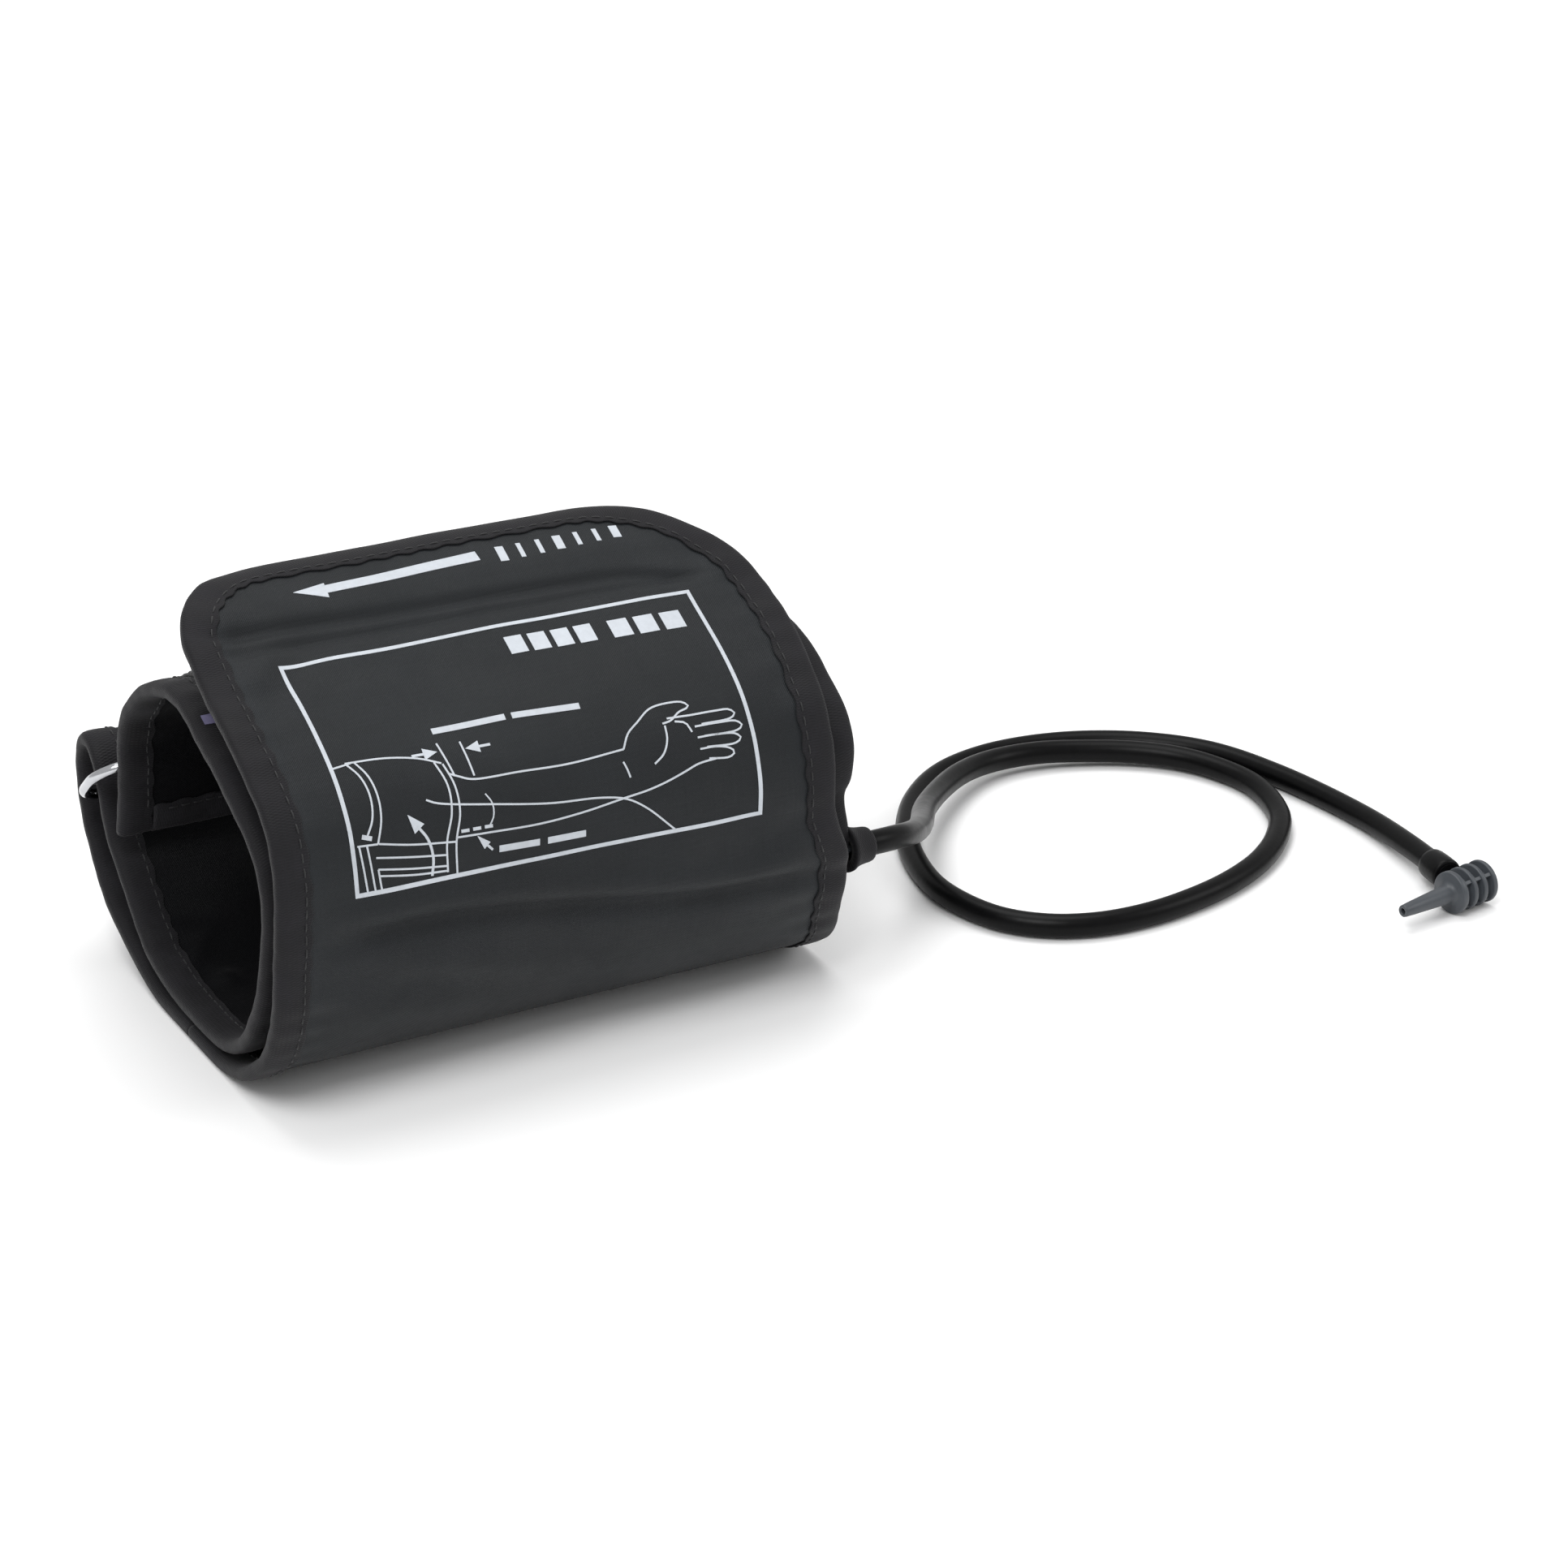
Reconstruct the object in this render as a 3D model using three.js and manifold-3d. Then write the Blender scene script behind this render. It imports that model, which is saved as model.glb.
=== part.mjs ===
// Upper arm blood pressure cuff with a D-ring closure, its air hose and air plug.
// Millimetres, +Z up, the cuff stands rolled on the floor z = 0 with its arm opening along X.
// The print faces the front, -Y; the hose leaves the right-hand end, +X.
import * as THREE from 'three';
import Module from 'manifold-3d';

// ---------------------------------------------------------------- driving dimensions
// Strip (one long cloth envelope, 146 mm wide)
const HALF_WIDTH = 73;            // strip edge to roll axis centre
const FLAP_RIGHT = 63.5;          // right edge of the narrower flap end
const TAPER_START = 152;          // distance before the free end where the taper begins
const TAPER_END = 88;             // distance before the free end where the taper ends
const CORNER_LEFT = 24;           // corner radii of the free end
const CORNER_RIGHT = 38;
const FLAP_LENGTH = 100;          // free end back to the peel line of the closure
const PEEL_GAP = 0.6;             // gap between the fixed and the peeled length

// Layers, measured from the middle surface of the strip; + is the loop side, - the lining side
const SHEET_IN = 0.15;
const SHEET_OUT = 0.55;
const CLOTH_IN = 0.85;
const CLOTH_OUT = 1.3;
const BINDING_IN = 1.6;
const BINDING_OUT = 2.0;
const BINDING_REACH = 7;          // how far the binding tape covers the cloth
const EDGE_GAP = 0.3;             // cloth edge to binding web
const WEB = 0.4;                  // binding web thickness
const FLAT_BAND = 0.08;           // the strip lies flat where it comes this close to the floor
const PATCH_IN = 1.6;
const PATCH_OUT = 2.3;
const THREAD_IN = 1.6;
const THREAD_OUT = 1.9;
const THREAD_INSET = 7.6;         // seam line to strip edge, just inside the tape
const THREAD_HALF = 0.3;
const THREAD_START = 8;           // clear of the tape across the tab end

// How finely the strip is cut into flat facets
const PROBE = 0.5;                // step of the search along the strip
const LONGEST_FACET = 9;
const FACET_TURN = 0.2;           // largest turn in one facet, in radians
const FLAP_FACET_TURN = 0.06;     // finer where the rounded corners cross the facets

// Bladder inside the first wrap of the strip
const BLADDER_START = 42;
const BLADDER_END = 262;
const BLADDER_HALF = 60;
const PORT_SIDES = 12;
const PORT_BORE = 0.6;            // radius of the air passage in the barb
const BARB_LENGTH = 3.6;          // barb inside the hose
const TONGUE_WIDE = 4;            // half width of the port's tongue along the strip
const TONGUE_THICK = 0.4;         // half thickness of the tongue
const HOLE_RADIUS = 1.6;          // hole in the binding for the barb

// Hook-and-loop panels
const LOOP_FROM = 52;
const LOOP_TO = 152;
const HOOK_BACK = 66;             // hook patch, from this far back from the free end
const HOOK_FRONT = 16;            // to this far back
const HOOK_LEFT = 56;
const HOOK_RIGHT = 38;

// Ring and its sleeve
const WIRE_RADIUS = 1.25;
const RING_HALF_LENGTH = 77;      // to the wire's centreline
const RING_CORNER = 8;
const RING_AT = 16;               // strip length from the tab end to the anchored bar
const RING_OFFSET = 3.65;         // anchored bar's centre off the strip's middle surface
const OUTER_BAR = [51.0, 39.0];   // y, z of the free bar
const SLEEVE_HALF = 60;
const SLEEVE_WALL = 0.6;
const SLEEVE_FOOT = 9;            // sewn foot of the sleeve, each side of the bar
const SLEEVE_PLAY = 0.4;          // clearance round the bar

// Hose and plug
const HOSE_RADIUS = 2.95;
const HOSE_BORE = 1.7;
const HOSE_STEPS = 64;
const HOSE_START_X = 74.6;
const BARB_RADIUS = 1.25;
const OUTLET_INSET = 0.9;          // hose start to the outlet sleeve
const OUTLET_LENGTH = 4.4;
const PLUG_REAR = [230.2, -87.4, 5.45];
const PLUG_TIP = [203.2, -92.2, 5.45];
const FIN_RADIUS = 5.3;
const FIN_PITCH = 3.3;
const FIN_THICK = 1.2;
const FRONT_FIN_THICK = 1.7;
const HUB_LENGTH = 11.6;
const HUB_RADIUS = 2.8;
const NOZZLE_REAR_RADIUS = 2.3;
const NOZZLE_TIP_RADIUS = 1.5;
const NOZZLE_BORE = 0.75;
const ELBOW_RADIUS = 2.4;
const ELBOW_DEPTH = 6.8;          // hub axis to the hose end
const COLLAR_RADIUS = 3.8;
const COLLAR_LENGTH = 8;

// Shift that brings the frame's origin to the middle of the footprint
const FRAME_Y = 0.74;

// ---------------------------------------------------------------- the strip's path, [y, z]
const TAB = [[34.5, 36], [33.3, 43], [32, 52], [29.5, 62]];
const HUMP = [[21, 74.5], [9, 83], [-5, 85.5], [-21, 82], [-37, 75.5], [-49, 66.5]];
const INNER_FRONT = [[-53.5, 56], [-51.8, 43], [-48.3, 30], [-41, 18], [-33, 11.5]];
const INNER_FLOOR = [[-24, 7.9], [-7, 7.2], [12, 9.6], [25, 15.5]];
const INTO_RING = [[35, 24], [41.8, 33.5], [43.8, 43], [45.5, 48.5]];
const FOLD = [[49, 52.2], [53.8, 52.8], [58.3, 47.5], [60.3, 38.5]];
const BACK = [[56.5, 28], [49, 19], [37, 10.5], [26, 5.2]];
const FLOOR = [[15, 2.3], [5, 2], [-5, 2], [-15, 2], [-25, 2.5]];
const FRONT = [[-36, 5.8], [-46, 13], [-54, 23], [-59, 35], [-61.5, 50], [-61, 66]];
const FLAP_TOP = [[-56.5, 76.5], [-47, 84.8], [-35, 91.2], [-21, 97.4], [-11.8, 102], [-3.2, 106.8]];
const INNER_WRAP = [TAB, HUMP, INNER_FRONT, INNER_FLOOR, INTO_RING];
const OUTER_WRAP = [FOLD, BACK, FLOOR, FRONT, FLAP_TOP];
const STRIP_PATH = [...INNER_WRAP, ...OUTER_WRAP].flat();

// ---------------------------------------------------------------- the hose's centreline
const HOSE_PATH = [
  [HOSE_START_X, -49.7, 33.9], [82.4, -49.1, 33.5], [89.5, -46.3, 32], [95.6, -41.4, 29.3],
  [103.2, -32.2, 24.8], [111.8, -19.6, 19.3], [124, -0.5, 12.8], [136, 13.2, 9.2],
  [146, 21.8, 7.4], [155, 27.2, 6], [164, 29.7, 5.1], [175, 29.2, 4.6],
  [186, 25.6, 4.1], [196, 20.2, 3.9], [204.5, 13, 3.7], [210.5, 4, 3.4],
  [214.4, -11, 3.1], [210.5, -28, 3.1], [203, -38.8, 3.1], [192, -48.2, 3.1],
  [179, -54.8, 3.1], [165, -58.8, 3.1], [151, -60.4, 3.1], [138, -59, 3.1],
  [127, -54, 3.1], [118.5, -44.5, 3.1], [114, -26, 3.1], [118, -4.5, 3.1],
  [125.5, 11, 3.1], [135.5, 23.7, 3.1], [148, 33, 3.1], [162, 37, 3.1],
  [176, 36.6, 3.1], [190, 32.5, 3.1], [204, 24, 3.1], [215.5, 11.2, 3.1],
  [223, -9, 3.1], [228, -40, 3.2], [226.6, -64, 4.6], [224.2, -81.6, 5.45],
];

// ---------------------------------------------------------------- materials
const finish = (color, roughness, metalness = 0) =>
  new THREE.MeshStandardMaterial({ color, roughness, metalness });
const charcoal = () => finish(0x323537, 0.9);
const lining = () => finish(0x2b2b2e, 0.9);
const tape = () => finish(0x302d31, 0.85);
const thread = () => finish(0x19191b, 0.8);
const chrome = () => finish(0xc8cacc, 0.18, 1);
const rubber = () => finish(0x1a1a1c, 0.45);
const film = () => finish(0x9a9a90, 0.6);
const velcro = () => finish(0x202124, 1.0);
const greyPlastic = () => finish(0x8d9093, 0.5);

// ---------------------------------------------------------------- mesh helpers
function asMesh(name, geometry, material) {
  const mesh = new THREE.Mesh(geometry, material);
  mesh.name = name;
  geometry.computeVertexNormals();
  return mesh;
}

function signedVolume(points, faces) {
  let sum = 0;
  for (const [a, b, c] of faces) {
    sum += points[a].dot(new THREE.Vector3().crossVectors(points[b], points[c]));
  }
  return sum / 6;
}

// Skin a row of equal-count rings of points; a closed row has no end caps.
function loft(rings, closed = false, cap = null) {
  const count = rings[0].length;
  const points = rings.flat();
  const faces = [];
  const spans = closed ? rings.length : rings.length - 1;
  for (let i = 0; i < spans; i += 1) {
    const here = i * count;
    const next = ((i + 1) % rings.length) * count;
    for (let j = 0; j < count; j += 1) {
      const k = (j + 1) % count;
      faces.push([here + j, here + k, next + k]);
      faces.push([here + j, next + k, next + j]);
    }
  }
  if (!closed) {
    const outline = cap ?? rings[0].map((_, j) => {
      const turn = (2 * Math.PI * j) / count;
      return new THREE.Vector2(Math.cos(turn), Math.sin(turn));
    });
    const flip = THREE.ShapeUtils.isClockWise(outline);
    const last = (rings.length - 1) * count;
    for (const [a, b, c] of THREE.ShapeUtils.triangulateShape(outline, [])) {
      const face = flip ? [a, b, c] : [a, c, b];
      faces.push(face);
      faces.push([face[0] + last, face[2] + last, face[1] + last]);
    }
  }
  const inside = signedVolume(points, faces) < 0;
  const geometry = new THREE.BufferGeometry();
  geometry.setAttribute('position', new THREE.Float32BufferAttribute(
    points.flatMap((p) => [p.x, p.y, p.z]), 3));
  geometry.setIndex(faces.flatMap(([a, b, c]) => (inside ? [a, c, b] : [a, b, c])));
  return geometry;
}

const wasm = await Module();
wasm.setup();

function toSolid(geometry) {
  const solid = new wasm.Mesh({
    numProp: 3,
    vertProperties: new Float32Array(geometry.attributes.position.array),
    triVerts: new Uint32Array(geometry.index.array),
  });
  return new wasm.Manifold(solid);
}

// The same surface with each shared corner stored once
function mergedCopy(geometry) {
  const keys = new Map();
  const place = geometry.attributes.position;
  const points = [];
  const index = [];
  for (let i = 0; i < place.count; i += 1) {
    const p = [place.getX(i), place.getY(i), place.getZ(i)];
    const key = p.map((v) => Math.round(v * 1e4)).join(' ');
    if (!keys.has(key)) {
      keys.set(key, points.length / 3);
      points.push(...p);
    }
    index.push(keys.get(key));
  }
  const out = new THREE.BufferGeometry();
  out.setAttribute('position', new THREE.Float32BufferAttribute(points, 3));
  out.setIndex(index);
  return out;
}

function fromSolid(solid) {
  const mesh = solid.getMesh();
  const geometry = new THREE.BufferGeometry();
  geometry.setAttribute('position', new THREE.Float32BufferAttribute(
    new Float32Array(mesh.vertProperties), 3));
  geometry.setIndex(Array.from(mesh.triVerts));
  return geometry;
}

// Round rod between two points, as a manifold solid
function rod(from, to, radiusFrom, radiusTo, sides) {
  const a = new THREE.Vector3(...from);
  const b = new THREE.Vector3(...to);
  return toSolid(loft([circle(a, b, radiusFrom, sides, 0), circle(a, b, radiusTo, sides, 1)]));
}

// Ring of points round the line a-b, at fraction t
function circle(a, b, radius, sides, t) {
  const along = new THREE.Vector3().subVectors(b, a).normalize();
  const side = new THREE.Vector3(0, 0, 1).cross(along).normalize();
  const up = new THREE.Vector3().crossVectors(along, side);
  const centre = new THREE.Vector3().lerpVectors(a, b, t);
  const ring = [];
  for (let i = 0; i < sides; i += 1) {
    const turn = (2 * Math.PI * (i + 0.5)) / sides;
    ring.push(centre.clone()
      .addScaledVector(side, radius * Math.cos(turn))
      .addScaledVector(up, radius * Math.sin(turn)));
  }
  return ring;
}

// ---------------------------------------------------------------- the strip's surface
const curve = new THREE.CatmullRomCurve3(
  STRIP_PATH.map(([y, z]) => new THREE.Vector3(0, y, z)), false, 'centripetal');
curve.arcLengthDivisions = 3000;
const STRIP_LENGTH = curve.getLength();
const PEEL_AT = STRIP_LENGTH - FLAP_LENGTH;
const FLAP_FROM = PEEL_AT + PEEL_GAP;

// Stations close together where the strip bends and wide apart where it runs straight
function layStations() {
  const list = [];
  let lastAt = 0;
  let lastTangent = curve.getTangentAt(0);
  const add = (at) => {
    const tangent = curve.getTangentAt(at / STRIP_LENGTH);
    const place = curve.getPointAt(at / STRIP_LENGTH);
    const normal = new THREE.Vector3(0, tangent.z, -tangent.y);
    if (place.z < BINDING_OUT + FLAT_BAND) {
      place.z = BINDING_OUT;
      normal.set(0, 0, 1);
    }
    list.push({ at, place, normal });
    lastAt = at;
    lastTangent = tangent;
  };
  add(0);
  for (let at = PROBE; at < STRIP_LENGTH - 2; at += PROBE) {
    const tangent = curve.getTangentAt(at / STRIP_LENGTH);
    const turned = tangent.angleTo(lastTangent);
    const limit = at > STRIP_LENGTH - FLAP_LENGTH - 4 ? FLAP_FACET_TURN : FACET_TURN;
    if (at - lastAt > LONGEST_FACET || turned > limit) add(at);
  }
  add(STRIP_LENGTH);
  return list;
}
const STATIONS = layStations();

// Point of the strip: x across, distance along, offset off the middle surface
function onStrip(x, along, offset) {
  const at = THREE.MathUtils.clamp(along, 0, STRIP_LENGTH);
  let i = 0;
  while (i < STATIONS.length - 2 && STATIONS[i + 1].at < at) i += 1;
  const a = STATIONS[i];
  const b = STATIONS[i + 1];
  const t = (along - a.at) / (b.at - a.at);
  const place = a.place.clone().lerp(b.place, t);
  const normal = a.normal.clone().lerp(b.normal, t);
  place.addScaledVector(normal, offset);
  place.x = x;
  return place;
}

// The stations between two distances, with both ends and any extra distances
function along(from, to, extra = []) {
  const inner = STATIONS.map((s) => s.at).filter((s) => s > from + 0.8 && s < to - 0.8);
  const added = extra.filter((s) => s > from && s < to);
  const kept = inner.filter((s) => added.every((e) => Math.abs(e - s) > 0.4));
  return [from, ...kept, ...added, to].sort((p, q) => p - q);
}

const leftEdge = () => -HALF_WIDTH;
function rightEdge(at) {
  const back = STRIP_LENGTH - at;
  const t = THREE.MathUtils.clamp((TAPER_START - back) / (TAPER_START - TAPER_END), 0, 1);
  const smooth = t * t * (3 - 2 * t);
  return HALF_WIDTH - (HALF_WIDTH - FLAP_RIGHT) * smooth;
}

// How far the rounded free end draws in at a distance along the strip
function cornerInset(at, radius) {
  const into = at - (STRIP_LENGTH - radius);
  if (into <= 0) return 0;
  return radius - Math.sqrt(Math.max(0, radius ** 2 - into ** 2));
}
const CORNER_STOPS = [0.2, 0.4, 0.6, 0.75, 0.87, 0.95, 0.99].map(
  (part) => STRIP_LENGTH - CORNER_RIGHT + CORNER_RIGHT * part);

// A layer of even thickness covering a length of the strip
function layer(from, to, low, high, left, right, extra = []) {
  const rings = along(from, to, extra).map((at) => [
    onStrip(left(at), at, low), onStrip(right(at), at, low),
    onStrip(right(at), at, high), onStrip(left(at), at, high)]);
  return loft(rings);
}

// Folded tape round an edge: inset inwards from the edge, offset off the middle surface
const TAPE_SECTION = [
  [-EDGE_GAP - WEB, -BINDING_OUT], [BINDING_REACH, -BINDING_OUT],
  [BINDING_REACH, -BINDING_IN], [-EDGE_GAP, -BINDING_IN],
  [-EDGE_GAP, BINDING_IN], [BINDING_REACH, BINDING_IN],
  [BINDING_REACH, BINDING_OUT], [-EDGE_GAP - WEB, BINDING_OUT]];
const THREAD_SECTION = [
  [THREAD_INSET - THREAD_HALF, -THREAD_OUT], [THREAD_INSET + THREAD_HALF, -THREAD_OUT],
  [THREAD_INSET + THREAD_HALF, -THREAD_IN], [THREAD_INSET - THREAD_HALF, -THREAD_IN]];
const as2D = (section) => section.map(([u, v]) => new THREE.Vector2(u, v));

function edgeSweep(section, edge, inward, from, to) {
  const rings = along(from, to).map((at) =>
    section.map(([inset, offset]) => onStrip(edge(at) + inward * inset, at, offset)));
  return loft(rings, false, as2D(section));
}

// A quarter turn of the flap's outline; side is +1 at the right corner, -1 at the left
function cornerArc(side, edge, radius, steps) {
  const line = [];
  for (let i = 1; i <= steps; i += 1) {
    const turn = (Math.PI / 2) * (i / steps);
    line.push({
      x: edge + side * radius * (Math.cos(turn) - 1),
      at: STRIP_LENGTH - radius + radius * Math.sin(turn),
      inward: new THREE.Vector2(-side * Math.cos(turn), -Math.sin(turn)),
    });
  }
  return line;
}

// The flap's outline, from the peel line at the right, round the free end, to the left
function flapOutline() {
  const rightStops = along(FLAP_FROM, STRIP_LENGTH - CORNER_RIGHT);
  const leftStops = along(FLAP_FROM, STRIP_LENGTH - CORNER_LEFT);
  const line = rightStops.map((at, i) => {
    const slope = i === 0 ? 0 : (rightEdge(at + 1) - rightEdge(at - 1)) / 2;
    return { x: rightEdge(at), at, inward: new THREE.Vector2(-1, slope).normalize() };
  });
  line.push(...cornerArc(1, rightEdge(STRIP_LENGTH - CORNER_RIGHT), CORNER_RIGHT, 8));
  line.push(...cornerArc(-1, -HALF_WIDTH, CORNER_LEFT, 6).reverse());
  for (const at of leftStops.reverse()) {
    line.push({ x: -HALF_WIDTH, at, inward: new THREE.Vector2(1, 0) });
  }
  return line;
}

function flapSweep(section) {
  const rings = flapOutline().map(({ x, at, inward }) => section.map(([inset, offset]) =>
    onStrip(x + inward.x * inset, at + inward.y * inset, offset)));
  return loft(rings, false, as2D(section));
}

const cuff = new THREE.Group();
cuff.name = 'blood_pressure_cuff';

// ---------------------------------------------------------------- fixed length of the strip
const FIXED_END = PEEL_AT;
cuff.add(asMesh('lining_cloth',
  layer(0, FIXED_END, -CLOTH_OUT, -CLOTH_IN, leftEdge, rightEdge), lining()));
cuff.add(asMesh('outer_cloth',
  layer(0, FIXED_END, CLOTH_IN, CLOTH_OUT, leftEdge, rightEdge), charcoal()));
cuff.add(asMesh('edge_binding_left',
  edgeSweep(TAPE_SECTION, leftEdge, 1, 0, FIXED_END), tape()));
cuff.add(asMesh('edge_thread_left',
  edgeSweep(THREAD_SECTION, leftEdge, 1, THREAD_START, FIXED_END - 1), thread()));
cuff.add(asMesh('edge_thread_right',
  edgeSweep(THREAD_SECTION, rightEdge, -1, THREAD_START, FIXED_END - 1), thread()));

// Direction of the hose's first straight length
const hoseLine = new THREE.CatmullRomCurve3(
  HOSE_PATH.map((p) => new THREE.Vector3(...p)), false, 'centripetal');
hoseLine.arcLengthDivisions = 2000;
const HOSE_OUT = hoseLine.getPointAt(1 / HOSE_STEPS).sub(hoseLine.getPointAt(0)).normalize();
const HOSE_END = hoseLine.getPointAt(1);
const HOSE_BACK = hoseLine.getPointAt(1 - 1 / HOSE_STEPS).sub(HOSE_END).normalize();
const backAlong = (distance) => HOSE_END.clone().addScaledVector(HOSE_BACK, distance).toArray();

// Right-hand binding, pierced where the hose barb comes out, level with the hose's start
const PORT_AT = (() => {
  let best = 0;
  for (let at = 120; at < 190; at += 0.25) {
    const here = onStrip(0, at, 0).z;
    const bestSoFar = onStrip(0, best, 0).z;
    if (Math.abs(here - HOSE_PATH[0][2]) < Math.abs(bestSoFar - HOSE_PATH[0][2])) best = at;
  }
  return best;
})();
const PORT = onStrip(0, PORT_AT, 0);
const rightTape = toSolid(edgeSweep(TAPE_SECTION, rightEdge, -1, 0, FIXED_END));
const pierced = rightTape.subtract(
  rod([HALF_WIDTH - 1, PORT.y, PORT.z], [HALF_WIDTH + 3, PORT.y, PORT.z],
    HOLE_RADIUS, HOLE_RADIUS, PORT_SIDES));
cuff.add(asMesh('edge_binding_right', fromSolid(pierced), tape()));

// Tape across the tab end
const TAB_TAPE_HALF = HALF_WIDTH - BINDING_REACH - 0.5;
const tabRings = [-TAB_TAPE_HALF, TAB_TAPE_HALF].map((x) =>
  TAPE_SECTION.map(([inset, offset]) => onStrip(x, inset, offset)));
cuff.add(asMesh('tab_binding', loft(tabRings, false, as2D(TAPE_SECTION)), tape()));

// ---------------------------------------------------------------- bladder
const bladderLeft = () => -BLADDER_HALF;
const bladderRight = () => BLADDER_HALF;
cuff.add(asMesh('bladder_sheet_inner',
  layer(BLADDER_START, BLADDER_END, -SHEET_OUT, -SHEET_IN, bladderLeft, bladderRight), film()));
cuff.add(asMesh('bladder_sheet_outer',
  layer(BLADDER_START, BLADDER_END, SHEET_IN, SHEET_OUT, bladderLeft, bladderRight), film()));

// Moulded port: a flat tongue welded at the bladder's edge, ending in the hose barb
function portSection(x, radius) {
  const ring = [];
  const beyond = Math.max(0, x - HOSE_START_X) / HOSE_OUT.x;
  const centre = PORT.clone().addScaledVector(HOSE_OUT, beyond);
  for (let i = 0; i < PORT_SIDES; i += 1) {
    const turn = (2 * Math.PI * (i + 0.5)) / PORT_SIDES;
    ring.push(new THREE.Vector3(
      x, centre.y + radius * Math.cos(turn), centre.z + radius * Math.sin(turn)));
  }
  return ring;
}
function tongueSection(x) {
  const across = new THREE.Vector3().subVectors(
    onStrip(0, PORT_AT + 1, 0), onStrip(0, PORT_AT - 1, 0)).normalize();
  const off = new THREE.Vector3(0, across.z, -across.y);
  return portSection(x, 1).map((p) => {
    const arm = new THREE.Vector3(0, p.y - PORT.y, p.z - PORT.z);
    const thick = THREE.MathUtils.clamp(arm.dot(off) * 3, -TONGUE_THICK, TONGUE_THICK);
    return onStrip(x, PORT_AT + TONGUE_WIDE * arm.dot(across), thick);
  });
}
const portRings = [
  tongueSection(BLADDER_HALF + 0.3), tongueSection(HALF_WIDTH + 0.03),
  portSection(HALF_WIDTH + 0.26, BARB_RADIUS), portSection(HOSE_START_X, BARB_RADIUS),
  portSection(HOSE_START_X + BARB_LENGTH, BARB_RADIUS),
  portSection(HOSE_START_X + BARB_LENGTH, PORT_BORE), portSection(HALF_WIDTH + 0.8, PORT_BORE)];
cuff.add(asMesh('bladder_port', loft(portRings), greyPlastic()));

// ---------------------------------------------------------------- hook-and-loop panels
const panelLeft = () => -(HALF_WIDTH - BINDING_REACH - 2);
cuff.add(asMesh('loop_panel',
  layer(LOOP_FROM, LOOP_TO, PATCH_IN, PATCH_OUT, panelLeft, () => -panelLeft()), velcro()));

// ---------------------------------------------------------------- ring and sleeve
const BAR = onStrip(0, RING_AT, RING_OFFSET);
function sleeveSection() {
  const inner = WIRE_RADIUS + SLEEVE_PLAY;
  const outer = inner + SLEEVE_WALL;
  const low = CLOTH_OUT + 0.3;
  const arc = (radius) => [0, 30, 60, 90, 120, 150, 180].map((deg) => {
    const turn = THREE.MathUtils.degToRad(deg);
    return [-radius * Math.cos(turn), RING_OFFSET + radius * Math.sin(turn)];
  });
  return [
    [-SLEEVE_FOOT, low], [-SLEEVE_FOOT, low + SLEEVE_WALL], [-outer - 0.4, low + SLEEVE_WALL],
    ...arc(outer),
    [outer + 0.4, low + SLEEVE_WALL], [SLEEVE_FOOT, low + SLEEVE_WALL], [SLEEVE_FOOT, low],
    [inner + 0.1, low], ...arc(inner).reverse(), [-inner - 0.1, low]];
}
const sleeve = sleeveSection();
const sleeveRings = [-SLEEVE_HALF, SLEEVE_HALF].map((x) =>
  sleeve.map(([step, offset]) => onStrip(x, RING_AT + step, offset)));
cuff.add(asMesh('ring_sleeve', loft(sleeveRings, false, as2D(sleeve)), charcoal()));

function ringRings() {
  const out = new THREE.Vector3(0, OUTER_BAR[0] - BAR.y, OUTER_BAR[1] - BAR.z);
  const depth = out.length();
  out.normalize();
  const across = new THREE.Vector3(1, 0, 0);
  const up = new THREE.Vector3().crossVectors(across, out);
  const reach = RING_HALF_LENGTH - RING_CORNER;
  const corners = [
    [reach, RING_CORNER, -90], [reach, depth - RING_CORNER, 0],
    [-reach, depth - RING_CORNER, 90], [-reach, RING_CORNER, 180]];
  const rings = [];
  for (const [x, d, start] of corners) {
    for (const deg of [0, 22.5, 45, 67.5, 90]) {
      const turn = THREE.MathUtils.degToRad(start + deg);
      const radial = across.clone().multiplyScalar(Math.cos(turn))
        .addScaledVector(out, Math.sin(turn));
      const centre = new THREE.Vector3(x, BAR.y, BAR.z).addScaledVector(out, d)
        .addScaledVector(radial, RING_CORNER);
      const ring = [];
      for (let i = 0; i < 10; i += 1) {
        const spin = (2 * Math.PI * i) / 10;
        ring.push(centre.clone().addScaledVector(radial, WIRE_RADIUS * Math.cos(spin))
          .addScaledVector(up, WIRE_RADIUS * Math.sin(spin)));
      }
      rings.push(ring);
    }
  }
  return rings;
}
cuff.add(asMesh('metal_ring', loft(ringRings(), true), chrome()));

// ---------------------------------------------------------------- flap, peels off the roll
const flapLeft = (at) => -HALF_WIDTH + cornerInset(at, CORNER_LEFT);
const flapRight = (at) => rightEdge(at) - cornerInset(at, CORNER_RIGHT);
cuff.add(asMesh('flap_printed_cloth',
  layer(FLAP_FROM, STRIP_LENGTH, -CLOTH_OUT, -CLOTH_IN, flapLeft, flapRight, CORNER_STOPS), charcoal()));
cuff.add(asMesh('flap_backing_cloth',
  layer(FLAP_FROM, STRIP_LENGTH, CLOTH_IN, CLOTH_OUT, flapLeft, flapRight, CORNER_STOPS), charcoal()));
cuff.add(asMesh('flap_binding', flapSweep(TAPE_SECTION), tape()));
cuff.add(asMesh('flap_thread', flapSweep(THREAD_SECTION), thread()));
const hookLayer = layer(
  STRIP_LENGTH - HOOK_BACK, STRIP_LENGTH - HOOK_FRONT, PATCH_IN, PATCH_OUT,
  () => -HOOK_LEFT, () => HOOK_RIGHT);
cuff.add(asMesh('hook_patch', hookLayer, velcro()));

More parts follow.
